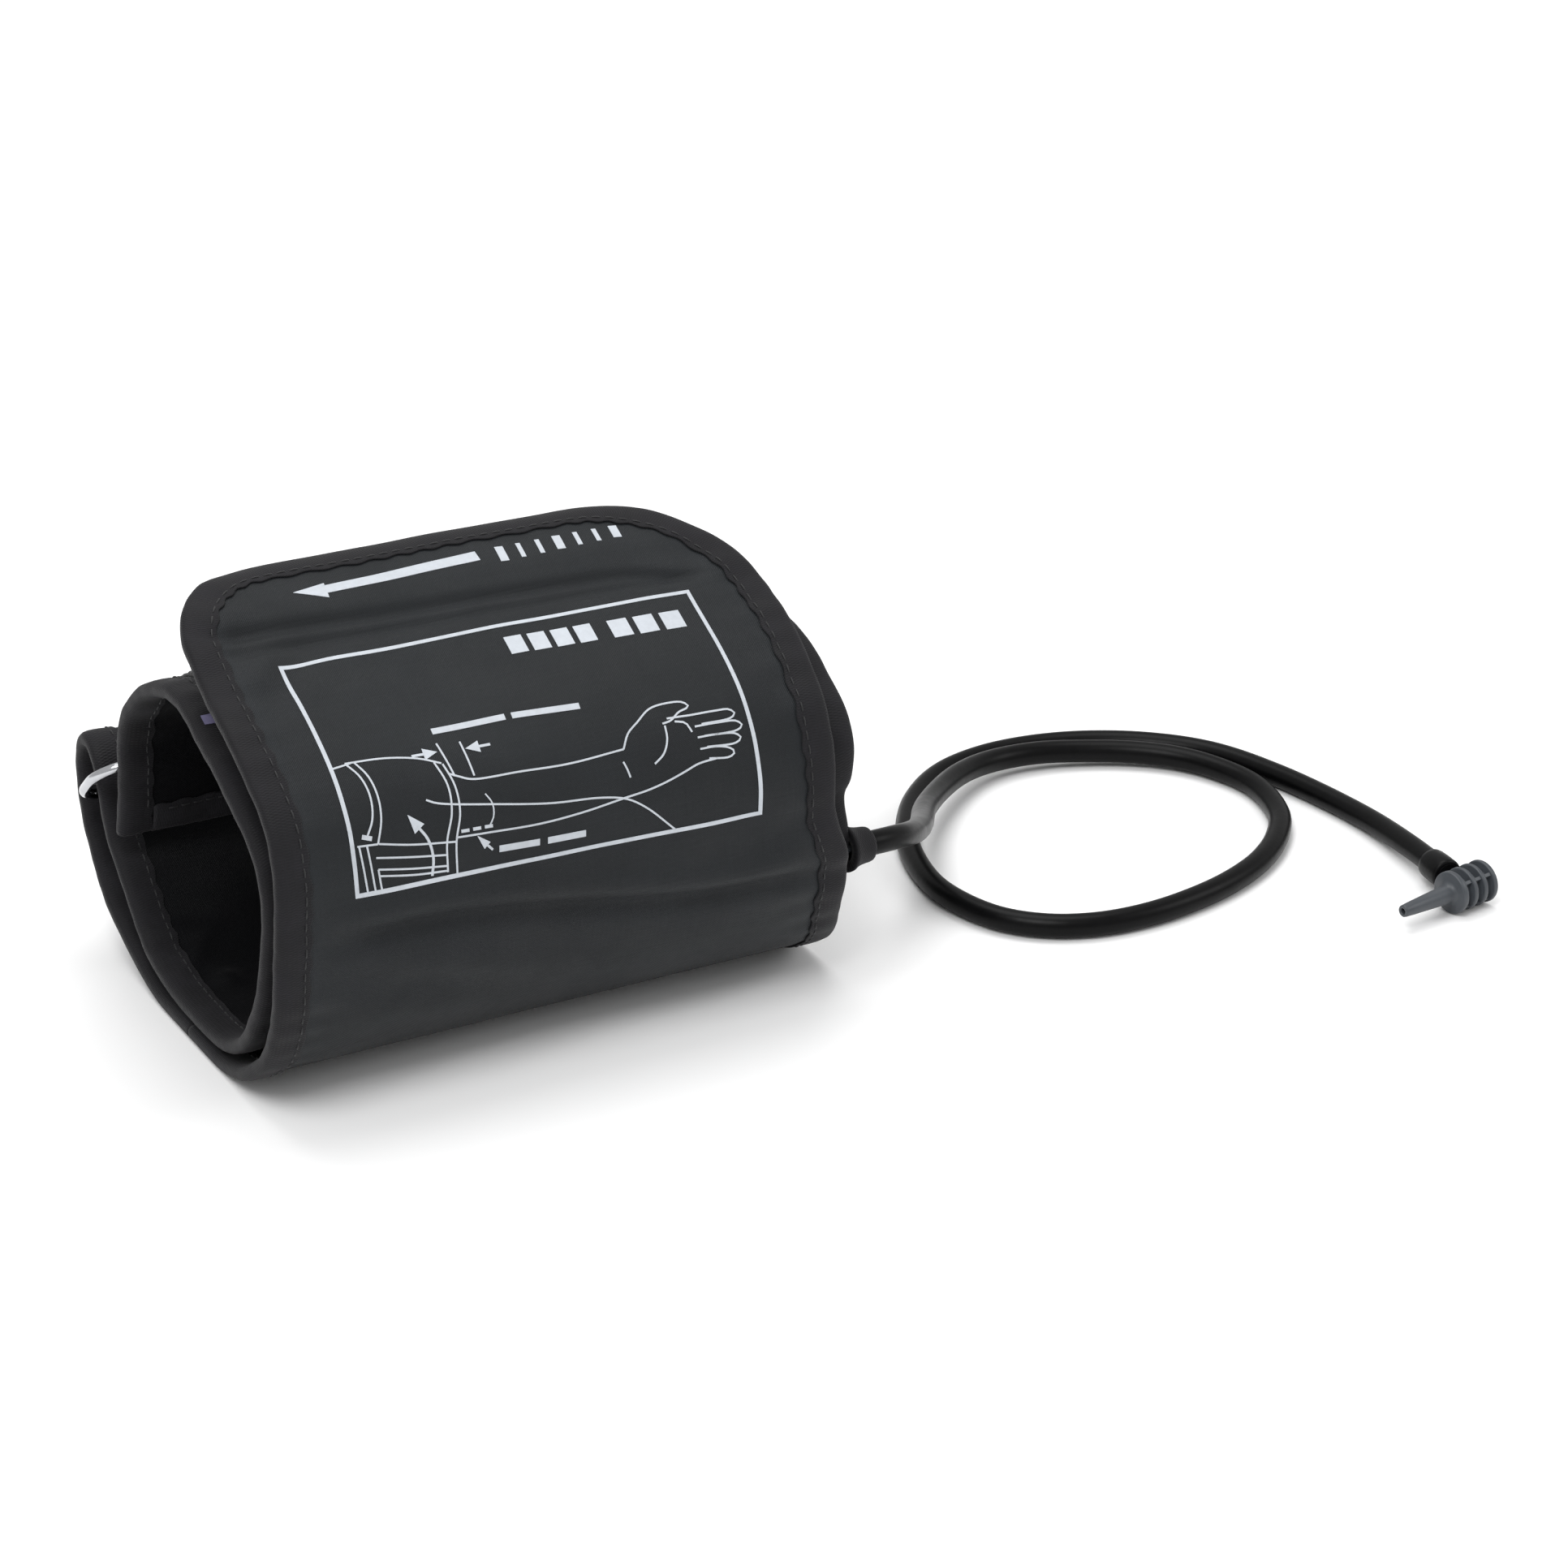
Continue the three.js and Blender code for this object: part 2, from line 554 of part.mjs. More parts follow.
// ---------------------------------------------------------------- hose
function tube(line, steps, outer, bore, sides) {
  const round = (radius) => Array.from({ length: sides }, (_, i) => new THREE.Vector2(
    radius * Math.cos((2 * Math.PI * i) / sides), radius * Math.sin((2 * Math.PI * i) / sides)));
  const shape = new THREE.Shape(round(outer));
  shape.holes.push(new THREE.Path(round(bore)));
  const geometry = new THREE.ExtrudeGeometry(
    shape, { steps, extrudePath: line, bevelEnabled: false, curveSegments: 1 });
  return mergedCopy(geometry);
}
cuff.add(asMesh('hose', tube(hoseLine, HOSE_STEPS, HOSE_RADIUS, HOSE_BORE, 10), rubber()));

// Hollow turned collar between two points
function collar(from, to, outerFrom, outerTo, bore, sides) {
  const a = new THREE.Vector3(...from);
  const b = new THREE.Vector3(...to);
  const rings = [
    circle(a, b, bore, sides, 0), circle(a, b, outerFrom, sides, 0),
    circle(a, b, Math.max(outerFrom, outerTo) + 0.15, sides, 0.45),
    circle(a, b, outerTo, sides, 1), circle(a, b, bore, sides, 1)];
  return loft(rings, true);
}
const outletStart = HOSE_PATH[0].map((v, i) => v + OUTLET_INSET * HOSE_OUT.getComponent(i));
const outletEnd = outletStart.map((v, i) => v + OUTLET_LENGTH * HOSE_OUT.getComponent(i));
const outlet = collar(outletStart, outletEnd, 4.6, 4.0, HOSE_RADIUS + 0.45, 14);
cuff.add(asMesh('hose_outlet', outlet, charcoal()));
const endCollar = collar(
  backAlong(0.6), backAlong(COLLAR_LENGTH), COLLAR_RADIUS, COLLAR_RADIUS, HOSE_RADIUS + 0.35, 14);
cuff.add(asMesh('hose_end_collar', endCollar, rubber()));

// ---------------------------------------------------------------- air plug
function airPlug() {
  const tip = new THREE.Vector3(...PLUG_TIP);
  const rear = new THREE.Vector3(...PLUG_REAR);
  const axis = new THREE.Vector3().subVectors(tip, rear).normalize();
  const at = (distance) => rear.clone().addScaledVector(axis, distance).toArray();
  const total = tip.distanceTo(rear);
  const sides = 20;
  let solid = rod(at(0.4), at(HUB_LENGTH), HUB_RADIUS, HUB_RADIUS, sides);
  solid = solid.add(
    rod(at(HUB_LENGTH - 0.1), at(total), NOZZLE_REAR_RADIUS, NOZZLE_TIP_RADIUS, sides));
  for (let i = 0; i < 4; i += 1) {
    const start = i * FIN_PITCH;
    const end = start + (i === 3 ? FRONT_FIN_THICK : FIN_THICK);
    solid = solid.add(rod(at(start), at(end), FIN_RADIUS, FIN_RADIUS, sides));
  }
  const root = backAlong(-ELBOW_DEPTH);
  const barbEnd = backAlong(4.8);
  solid = solid.add(rod(root, backAlong(-0.4), ELBOW_RADIUS, ELBOW_RADIUS, 12));
  solid = solid.add(rod(root, barbEnd, BARB_RADIUS, BARB_RADIUS, 12));
  // A stiffening rod across the fins, above and below the hub
  for (const side of [-1, 1]) {
    const lift = side * 3.9;
    const low = at(0.6);
    const high = at(HUB_LENGTH - 0.6);
    low[2] += lift;
    high[2] += lift;
    solid = solid.add(rod(low, high, 1.0, 1.0, 6));
  }
  solid = solid.subtract(rod(at(6.4), at(total + 1), NOZZLE_BORE, NOZZLE_BORE, 10));
  solid = solid.subtract(rod(root, backAlong(6), 0.65, 0.65, 10));
  return fromSolid(solid);
}
cuff.add(asMesh('air_plug', airPlug(), greyPlastic()));

// The frame's origin is the middle of the cuff's footprint, on the floor.
cuff.position.set(0, FRAME_Y, 0);
const part = new THREE.Group();
part.name = 'upper_arm_cuff';
part.add(cuff);

export default part;
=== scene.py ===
"""Looks of a rolled upper arm blood pressure cuff, its ring, air hose and plug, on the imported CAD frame.

Lengths below are in millimetres and become metres when a mesh is made. +Z is up, the arm opening runs
along X, the print faces -Y and the hose leaves at +X.
"""

import math

import bmesh
import bpy
import numpy as np
from mathutils import Matrix, Vector


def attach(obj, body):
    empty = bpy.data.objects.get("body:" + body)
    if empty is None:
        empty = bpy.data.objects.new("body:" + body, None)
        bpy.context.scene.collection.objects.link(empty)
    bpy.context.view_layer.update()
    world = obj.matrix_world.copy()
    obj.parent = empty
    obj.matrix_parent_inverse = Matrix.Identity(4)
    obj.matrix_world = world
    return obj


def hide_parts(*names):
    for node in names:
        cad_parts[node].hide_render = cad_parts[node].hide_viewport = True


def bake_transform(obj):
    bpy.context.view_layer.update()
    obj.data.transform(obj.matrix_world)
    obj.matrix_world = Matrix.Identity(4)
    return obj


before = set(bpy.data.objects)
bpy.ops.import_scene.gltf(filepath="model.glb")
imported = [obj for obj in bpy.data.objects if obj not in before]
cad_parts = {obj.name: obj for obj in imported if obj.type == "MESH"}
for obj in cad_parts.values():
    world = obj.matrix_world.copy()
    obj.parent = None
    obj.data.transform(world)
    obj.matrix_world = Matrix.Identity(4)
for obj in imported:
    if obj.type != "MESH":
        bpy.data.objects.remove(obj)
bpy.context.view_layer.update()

MM = 0.001
FRAME_Y = 0.74  # the CAD model's shift to the middle of the footprint
LEAST_HEIGHT = 0.02  # of any cloth over the floor

# ---------------- driving dimensions
HALF_WIDTH = 73.0
FLAP_RIGHT = 63.5
TAPER = (421.5, 485.5)  # distances along the strip where the right edge draws in
CORNER_LEFT = 24.0
CORNER_RIGHT = 38.0
SPLIT = 391.0  # under the roll, where the inner and the outer length of cloth meet
# Layers from one surface to the other, off the strip's middle surface
CLOTH = (0.85, 1.3)
FILM_OFF = (0.15, 0.55)
LOOP_OFF = (1.35, 2.15)
HOOK_OFF = (1.35, 1.75)
# Grid columns across the cloth layers
INNER_COLUMNS = 76
FACE_COLUMNS = 112
BACKING_COLUMNS = 92
TAPE_REACH = 7.0
SEAM_INSET = 5.7
SEAM_OFF = 1.80  # stitches, off the middle surface
STITCH_PITCH = 3.1
STITCH_LENGTH = 2.3
STITCH_RADIUS = 0.2
STITCH_SIDES = 6
# Rings of one stitch: place along it, share of its radius, and height over the cloth
STITCH_SHAPE = (
    (-0.5, 0.35, -0.16), (-0.38, 0.9, 0.0), (0, 1.0, 0.08), (0.38, 0.9, 0.0), (0.5, 0.35, -0.16))
LOOP_SPAN = (52.0, 152.0)
LOOP_HALF = 64.0
HOOK_BACK = (66.0, 16.0)  # hook patch ends, back from the free end
HOOK_X = (-56.0, 38.0)
BLADDER = (42.0, 262.0)
BLADDER_HALF = 60.0
HOOK_PITCH = 1.5
WIRE_RADIUS = 1.25
RING_HALF_LENGTH = 77.0
RING_CORNER = 8.0
RING_AT = 16.0
RING_OFFSET = 3.65
CORNER_STEPS = 13
WIRE_SIDES = 20
OUTER_BAR = (51.0, 39.0)
SLEEVE_HALF = 60.0
HOSE_DIAMETER = 0.0059
PLUG_REAR = (230.2, -87.4, 5.45)
PLUG_TIP = (203.2, -92.2, 5.45)
FIN_RADIUS = 5.3
FIN_PITCH = 3.3
FIN_COUNT = 4
FIN_THICK = 1.25
LAST_FIN_THICK = 1.7
HUB_RADIUS = 3.0
HUB_LENGTH = 11.6
RIB_HALF = 0.45
CAMERA_AT = (-0.4257, -0.93896, 0.5264)  # metres
CAMERA_LENS = 111.8
CAMERA_AROUND = 28.5  # degrees round to the left of the front
CAMERA_ABOVE = 25.0

# The strip's path, [y, z], from the ring end to the free end
STRIP_PATH = [
    [34.5, 36], [33.3, 43], [32, 52], [29.5, 62],
    [21, 74.5], [9, 83], [-5, 85.5], [-21, 82], [-37, 75.5], [-49, 66.5],
    [-53.5, 56], [-51.8, 43], [-48.3, 30], [-41, 18], [-33, 11.5],
    [-24, 7.9], [-7, 7.2], [12, 9.6], [25, 15.5],
    [35, 24], [41.8, 33.5], [43.8, 43], [45.5, 48.5],
    [49, 52.2], [53.8, 52.8], [58.3, 47.5], [60.3, 38.5],
    [56.5, 28], [49, 19], [37, 10.5], [26, 5.2],
    [15, 2.3], [5, 2], [-5, 2], [-15, 2], [-25, 2.5],
    [-36, 5.8], [-46, 13], [-54, 23], [-59, 35], [-61.5, 50], [-61, 66],
    [-56.5, 76.5], [-47, 84.9], [-35, 91.4], [-21, 97.9], [-12.5, 102.4],
    [-5.5, 106.0], [-0.9, 107.5], [3.5, 107.2],
]

# The hose's route, the same points as in the CAD model
HOSE_PATH = [
    [74.6, -49.7, 33.9], [82.4, -49.1, 33.5], [89.5, -46.3, 32], [95.6, -41.4, 29.3],
    [103.2, -32.2, 24.8], [111.8, -19.6, 19.3], [124, -0.5, 12.8], [136, 13.2, 9.2],
    [146, 21.8, 7.4], [155, 27.2, 6], [164, 29.7, 5.1], [175, 29.2, 4.6],
    [186, 25.6, 4.1], [196, 20.2, 3.9], [204.5, 13, 3.7], [210.5, 4, 3.4],
    [214.4, -11, 3.1], [210.5, -28, 3.1], [203, -38.8, 3.1], [192, -48.2, 3.1],
    [179, -54.8, 3.1], [165, -58.8, 3.1], [151, -60.4, 3.1], [138, -59, 3.1],
    [127, -54, 3.1], [118.5, -44.5, 3.1], [114, -26, 3.1], [118, -4.5, 3.1],
    [125.5, 11, 3.1], [135.5, 23.7, 3.1], [148, 33, 3.1], [162, 37, 3.1],
    [176, 36.6, 3.1], [190, 32.5, 3.1], [204, 24, 3.1], [215.5, 11.2, 3.1],
    [223, -9, 3.1], [228, -40, 3.2], [226.6, -64, 4.6], [224.2, -81.6, 5.45],
]


# ---------------- camera, floor and light
def place_camera():
    """A long lens that looks at the cuff from the left of its front, and from above."""
    around, above = math.radians(CAMERA_AROUND), math.radians(CAMERA_ABOVE)
    ahead = Vector((
        math.sin(around) * math.cos(above), math.cos(around) * math.cos(above), -math.sin(above)))
    right = Vector((math.cos(around), -math.sin(around), 0))
    up = right.cross(ahead)
    data = bpy.data.cameras.new("camera")
    data.sensor_width = 36
    data.lens = CAMERA_LENS
    data.clip_start, data.clip_end = 0.05, 20
    camera = bpy.data.objects.new("camera", data)
    bpy.context.collection.objects.link(camera)
    turn = Matrix((right, up, -ahead)).transposed().to_4x4()
    camera.matrix_world = Matrix.Translation(CAMERA_AT) @ turn
    bpy.context.scene.camera = camera


def area_light(name, place, target, size, power):
    data = bpy.data.lights.new(name, "AREA")
    data.shape = "DISK"
    data.size = size
    data.energy = power
    lamp = bpy.data.objects.new(name, data)
    bpy.context.collection.objects.link(lamp)
    lamp.location = place
    lamp.rotation_euler = (Vector(target) - Vector(place)).to_track_quat("-Z", "Y").to_euler()


def dress_stage():
    """A pale floor, an even white surround and three soft lights; lengths here are in metres."""
    floor_mesh = bpy.data.meshes.new("floor")
    reach = 6.0
    corners = [(-reach, -reach, 0), (reach, -reach, 0), (reach, reach, 0), (-reach, reach, 0)]
    floor_mesh.from_pydata(corners, [], [(0, 1, 2, 3)])
    floor = bpy.data.objects.new("floor", floor_mesh)
    bpy.context.collection.objects.link(floor)
    paint = bpy.data.materials.new("floor_pale")
    paint.use_nodes = True
    shader = paint.node_tree.nodes["Principled BSDF"]
    shader.inputs["Base Color"].default_value = (0.93, 0.93, 0.93, 1)
    shader.inputs["Roughness"].default_value = 0.95
    shader.inputs["Specular IOR Level"].default_value = 0.1
    floor_mesh.materials.append(paint)
    world = bpy.data.worlds.new("studio")
    world.use_nodes = True
    sky = world.node_tree.nodes["Background"]
    sky.inputs["Color"].default_value = (1, 1, 1, 1)
    sky.inputs["Strength"].default_value = 0.60
    bpy.context.scene.world = world
    area_light("key", place=(-0.75, -0.65, 1.5), target=(0, 0, 0.05), size=0.9, power=15)
    area_light("top", place=(0.15, 0.45, 1.7), target=(0.05, 0, 0.03), size=1.3, power=14)
    area_light("side", place=(1.3, -0.7, 0.9), target=(0.05, 0, 0.05), size=0.8, power=5)
    bpy.context.scene.view_settings.view_transform = "Standard"


place_camera()
dress_stage()


# ---------------- curves
def bell(value, centre, width):
    """1 at the centre, falling smoothly to nothing on both sides."""
    return np.exp(-((value - centre) / width) ** 2)


def mound(a, b, centre, widths):
    """A bell in two directions at once."""
    return np.exp(-((a - centre[0]) / widths[0]) ** 2 - ((b - centre[1]) / widths[1]) ** 2)


def smoothstep(low, high, value):
    t = np.clip((np.asarray(value, float) - low) / (high - low), 0, 1)
    return t * t * (3 - 2 * t)


def centripetal(points, steps):
    """Points along the centripetal Catmull-Rom curve through the given ones, steps to each span."""
    knots = np.array(points, float)
    first = 2 * knots[0] - knots[1]
    last = 2 * knots[-1] - knots[-2]
    padded = np.vstack([first, knots, last])
    made = []
    for i in range(len(knots) - 1):
        p0, p1, p2, p3 = padded[i:i + 4]
        d0, d1, d2 = (math.sqrt(np.linalg.norm(b - a)) for a, b in ((p0, p1), (p1, p2), (p2, p3)))
        m1 = ((p1 - p0) / d0 - (p2 - p0) / (d0 + d1) + (p2 - p1) / d1) * d1
        m2 = ((p2 - p1) / d1 - (p3 - p1) / (d1 + d2) + (p3 - p2) / d2) * d1
        for k in range(steps):
            u = k / steps
            made.append(
                (2 * u**3 - 3 * u**2 + 1) * p1 + (u**3 - 2 * u**2 + u) * m1
                + (3 * u**2 - 2 * u**3) * p2 + (u**3 - u**2) * m2)
    made.append(knots[-1])
    return np.array(made)


def distances(line):
    return np.concatenate([[0], np.cumsum(np.linalg.norm(np.diff(line, axis=0), axis=1))])


def columns_at(place, known, table):
    """The table's two columns, read between their known places."""
    return [np.interp(place, known, table[:, k]) for k in (0, 1)]


STEP = 0.5  # between points of the middle line
SPARE = 6.0  # how far it runs on past each end
SMOOTH_STEPS = 12  # reach and width of the smoothing
SMOOTH_WIDTH = 2.0
UNDER_ROLL = (360, 420)  # the run that lies on the floor, and its least height
FLOOR_CLEAR = 2.0


def middle_line():
    """The strip's length, and distances, points and directions along its smoothed middle line."""
    raw = centripetal(STRIP_PATH, 40)
    run = distances(raw)
    length = run[-1]
    at = np.arange(-SPARE, length + SPARE, STEP)
    path = np.stack(columns_at(at, run, raw), 1)
    before, after = at < 0, at > length
    first_slope = (raw[1] - raw[0]) / run[1]
    last_slope = (raw[-1] - raw[-2]) / (run[-1] - run[-2])
    path[before] = raw[0] + at[before][:, None] * first_slope
    path[after] = raw[-1] + (at[after] - length)[:, None] * last_slope
    kernel = np.exp(-0.5 * (np.arange(-SMOOTH_STEPS, SMOOTH_STEPS + 1) * STEP / SMOOTH_WIDTH) ** 2)
    kernel /= kernel.sum()
    for k in (0, 1):
        padded = np.pad(path[:, k], SMOOTH_STEPS, mode="reflect", reflect_type="odd")
        path[:, k] = np.convolve(padded, kernel, mode="valid")
    resting = (at > UNDER_ROLL[0]) & (at < UNDER_ROLL[1])
    path[:, 1] = np.where(resting, np.maximum(path[:, 1], FLOOR_CLEAR), path[:, 1])
    ahead = np.gradient(path, axis=0)
    ahead /= np.linalg.norm(ahead, axis=1)[:, None]
    return length, at, path, ahead


STRIP_LENGTH, LINE_S, line, slopes = middle_line()


def lift(s):
    """0 where the strip lies on the floor, 1 where it stands clear."""
    return smoothstep(2.6, 16, np.interp(s, LINE_S, line[:, 1]))


def left_edge(s):
    s = np.asarray(s, float)
    return -HALF_WIDTH + 0.45 * np.sin(s / 9.7 + 0.6) * lift(s)


def right_edge(s):
    s = np.asarray(s, float)
    drawn = (HALF_WIDTH - FLAP_RIGHT) * smoothstep(TAPER[0], TAPER[1], s)
    ripple = 0.55 * np.sin(s / 8.3 + 1.1) * lift(s)
    wave = 1.3 * bell(s, 462, 7) - 1.2 * bell(s, 478, 7)
    return HALF_WIDTH - drawn + ripple + wave


# In these, a factor before a sine, a bell or a mound is a height in millimetres
def soft_roll(x, s):
    """Slow unevenness of cloth rolled by hand."""
    slow = 0.42 * np.sin(x / 17 + 1.3 + 0.6 * np.sin(s / 31)) * np.sin(s / 23 + 0.5)
    middling = 0.24 * np.sin(x / 9 + s / 14 + 2) * np.sin(s / 11 - x / 21)
    quick = 0.07 * np.sin(x / 4.1 + 1.7 * np.sin(s / 9)) * np.sin(s / 5.3 + x / 12)
    return slow + middling + quick


def seam_wrinkles(x, s):
    """Puckers along the taped sides, and short wrinkles that run in from them."""
    edge = np.minimum(x - left_edge(s), right_edge(s) - x)
    tight = 0.17 * bell(edge, 7, 7) * np.sin(s / 1.45 + 2.2 * np.sin(s / 12) + x / 15)
    loose = 0.22 * bell(edge, 0, 12) * np.sin(s / 4.7 + 1.4 * np.sin(s / 17))
    rays = np.sin(s / 2.3 + edge / 6 + 2.4 * np.sin(s / 19)) * np.sin(s / 12.1 + 0.7)
    return tight + loose + 0.28 * bell(edge, 9, 9) * rays


def flap_creases(x, s):
    """Two folds across the flap between the arrow and the framed print, and wrinkles at its sides."""
    across = smoothstep(-71, -60, x) * (1 - smoothstep(40, 56, x))
    upper = 549.8 - 0.045 * (x + 10) - 3.6 * smoothstep(25, 58, x)
    lower = 545.6 - 0.03 * (x + 10)
    crease = 1.45 * bell(s, upper, 1.5) + 1.15 * bell(s, lower, 1.3)
    swell = -0.75 * bell(s, 556.5, 4.5)
    corner = 0.7 * np.sin((s - 0.9 * x) / 3.3) * mound(x, s, (-58, 541), (10, 11))
    side = 0.65 * np.sin((s + 0.7 * x) / 4.2) * mound(x, s, (50, 484), (10, 13))
    return (crease + swell) * across + corner + side


def front_folds(x, s):
    """A soft fold low on the front that climbs to the right, and a fan of small ones at its left."""
    crest = 474.5 - 0.10 * (x + 70) - 2.0 * np.sin(x / 19)
    fold = 2.3 * bell(s, crest, 3.0) - 1.7 * bell(s, crest + 5.5, 3.8)
    fold = fold * smoothstep(-70, -45, x) * (1 - 0.5 * smoothstep(40, 66, x))
    fan = 0.8 * np.sin((s - 455) / 3.0 + x / 8) * bell(s, 457, 11) * bell(x, -32, 26)
    return fold + fan


def right_pinch(x, s):
    """The inner roll's right end draws in above the hose and swells round it."""
    return smoothstep(22, 73, x) * (1.3 * bell(s, 122, 8) - 3.6 * bell(s, 140, 6.5))


def lining_bumps(x, s):
    """Inside the roll, near its left end, a round bump and a ridge press through the lining."""
    bump = -1.7 * mound(x, s, (-60.5, 219.5), (math.sqrt(8), math.sqrt(8)))
    off_ridge = (s - 232) * 0.72 - (x + 62) * 0.70
    on_ridge = (s - 232) * 0.70 + (x + 62) * 0.72
    return bump - 1.5 * mound(off_ridge, on_ridge, (0, 0), (1.7, 6.5))


def relief(x, s):
    """How far the cloth stands off its plain rolled shape, along the + normal."""
    total = soft_roll(x, s) + seam_wrinkles(x, s) + right_pinch(x, s)
    total = total + flap_creases(x, s) + front_folds(x, s)
    # The cloth is pulled smooth where it passes round the ring's outer bar
    taut = smoothstep(270, 276, s) * (1 - smoothstep(296, 302, s))
    return total * lift(s) * (1 - 0.8 * taut) + lining_bumps(x, s)


def surface(x, s, off):
    """Points of the strip in millimetres: x across, s along, off the middle surface."""
    x, s, off = np.broadcast_arrays(np.asarray(x, float), np.asarray(s, float), np.asarray(off, float))
    y, z = columns_at(s, LINE_S, line)
    run_y, run_z = columns_at(s, LINE_S, slopes)
    raised = off + relief(x, s)
    # The free end lies a little askew: further over at the left, less far and lower at the right
    skew = (0.6 - x / HALF_WIDTH * 1.5) * smoothstep(535, STRIP_LENGTH, s)
    sag = -1.1 * smoothstep(20, 62, x) * smoothstep(548, STRIP_LENGTH, s)
    y = y + run_y * skew + raised * run_z
    z = z + run_z * skew - raised * run_y + sag
    return np.stack([x, y + FRAME_Y, np.maximum(z, LEAST_HEIGHT)], -1)


def corner_inset(s, radius):
    """How far a rounded corner of the free end draws the side in."""
    into = np.clip(s - (STRIP_LENGTH - radius), 0, radius)
    return radius - np.sqrt(np.maximum(0, radius**2 - into**2))


# ---------------- meshes
def add_mesh(name, points, faces, uv=None, smooth=True, wear=None):
    """A mesh object from points in millimetres, with its faces turned outwards."""
    mesh = bpy.data.meshes.new(name)
    mesh.from_pydata((np.asarray(points, float) * MM).tolist(), [], faces)
    if uv is not None:
        layer = mesh.uv_layers.new(name="cloth_mm")
        index = np.zeros(len(mesh.loops), int)
        mesh.loops.foreach_get("vertex_index", index)
        layer.data.foreach_set("uv", np.asarray(uv, float)[index].ravel())
    if wear is not None:
        layer = mesh.attributes.new("wear", "FLOAT", "POINT")
        layer.data.foreach_set("value", np.asarray(wear, np.float32))
    work = bmesh.new()
    work.from_mesh(mesh)
    bmesh.ops.recalc_face_normals(work, faces=work.faces)
    work.to_mesh(mesh)
    work.free()
    mesh.polygons.foreach_set("use_smooth", [smooth] * len(mesh.polygons))
    made = bpy.data.objects.new(name, mesh)
    bpy.context.collection.objects.link(made)
    return made


def slab_faces(rows, columns):
    """Faces of a closed slab: two grids of rows x columns points, the second right after the first."""
    faces = []
    far = rows * columns
    for i in range(rows - 1):
        for j in range(columns - 1):
            a = i * columns + j
            faces.append((a, a + 1, a + columns + 1, a + columns))
            faces.append((far + a, far + a + columns, far + a + columns + 1, far + a + 1))
    rim = list(range(columns))
    rim += [i * columns + columns - 1 for i in range(1, rows)]
    rim += [(rows - 1) * columns + j for j in range(columns - 2, -1, -1)]
    rim += [i * columns for i in range(rows - 2, 0, -1)]
    for a, b in zip(rim, rim[1:] + rim[:1]):
        faces.append((a, far + a, far + b, b))
    return faces


def cloth_slab(name, left, right, stations, columns, low, high, rough=0.0):
    """A layer of cloth over part of the strip; left and right give its sides at each station."""
    s = np.repeat(np.asarray(stations, float)[:, None], columns, 1)
    share = np.linspace(0, 1, columns)[None, :]
    x = left(s) + (right(s) - left(s)) * share
    fuzz = rough * np.sin(x * 2.9 + 3 * np.sin(s * 1.7)) * np.sin(s * 3.3 + 2 * np.sin(x * 1.3))
    sheets = [surface(x, s, low).reshape(-1, 3), surface(x, s, high + fuzz).reshape(-1, 3)]
    uv = np.stack([x, s], -1).reshape(-1, 2)
    edge = np.minimum(x - left(s), right(s) - x)
    wear = np.exp(-(edge - TAPE_REACH) ** 2 / 6).reshape(-1)
    return add_mesh(
        name, np.vstack(sheets), slab_faces(len(stations), columns), np.vstack([uv, uv]),
        wear=np.concatenate([wear, wear]))


def tube_faces(first, rings, count, closed=False):
    """Faces of a tube whose points start at first: rings of count points, capped unless it closes."""
    faces = []
    for i in range(rings if closed else rings - 1):
        here = first + i * count
        following = first + (i + 1) % rings * count
        for j in range(count):
            k = (j + 1) % count
            faces.append((here + j, here + k, following + k, following + j))
    if not closed:
        last = first + (rings - 1) * count
        faces.append(tuple(range(first, first + count)))
        faces.append(tuple(range(last, last + count)))
    return faces


def loft(name, rings, closed=False, uv=None, smooth=True):
    """Skin rings of equal point count; open rows get a face across each end."""
    return add_mesh(name, np.vstack(rings), tube_faces(0, len(rings), len(rings[0]), closed), uv, smooth)


def joined(parts):
    """Join the pieces into the first one."""
    bpy.ops.object.select_all(action="DESELECT")
    for part in parts:
        part.select_set(True)
    bpy.context.view_layer.objects.active = parts[0]
    bpy.ops.object.join()
    return parts[0]


# ---------------- outline of the strip
def straight_outline(edge, inward, start, end, step):
    """Rows of x, s and the inward direction along one side of the strip."""
    s = np.linspace(start, end, max(2, int(abs(end - start) / step) + 1))
    x = edge(s)
    return np.stack([x, s, np.full_like(s, inward), np.zeros_like(s)], 1)


def outer_outline(step):
    """Rows of x, s and the inward direction: up the right edge, round the free end and down the left."""
    right = straight_outline(right_edge, -1, SPLIT, STRIP_LENGTH - CORNER_RIGHT, step)
    left = straight_outline(left_edge, 1, STRIP_LENGTH - CORNER_LEFT, SPLIT, step)
    rows = [right]
    for side, edge_x, radius in ((1, right[-1, 0], CORNER_RIGHT), (-1, left[0, 0], CORNER_LEFT)):
        turns = np.linspace(0, math.pi / 2, int(radius * math.pi / 2 / step) + 1)[1:]
        arc = np.stack([
            edge_x + side * radius * (np.cos(turns) - 1),
            STRIP_LENGTH - radius + radius * np.sin(turns),
            -side * np.cos(turns), -np.sin(turns)], 1)
        rows.append(arc if side == 1 else arc[::-1])
    end_right, end_left = rows[1][-1, 0], rows[2][0, 0]
    across = np.linspace(end_right, end_left, int(abs(end_right - end_left) / step) + 1)[1:-1]
    top = np.stack([
        across, np.full_like(across, STRIP_LENGTH), np.zeros_like(across), -np.ones_like(across)], 1)
    return np.vstack([rows[0], rows[1], top, rows[2], left])


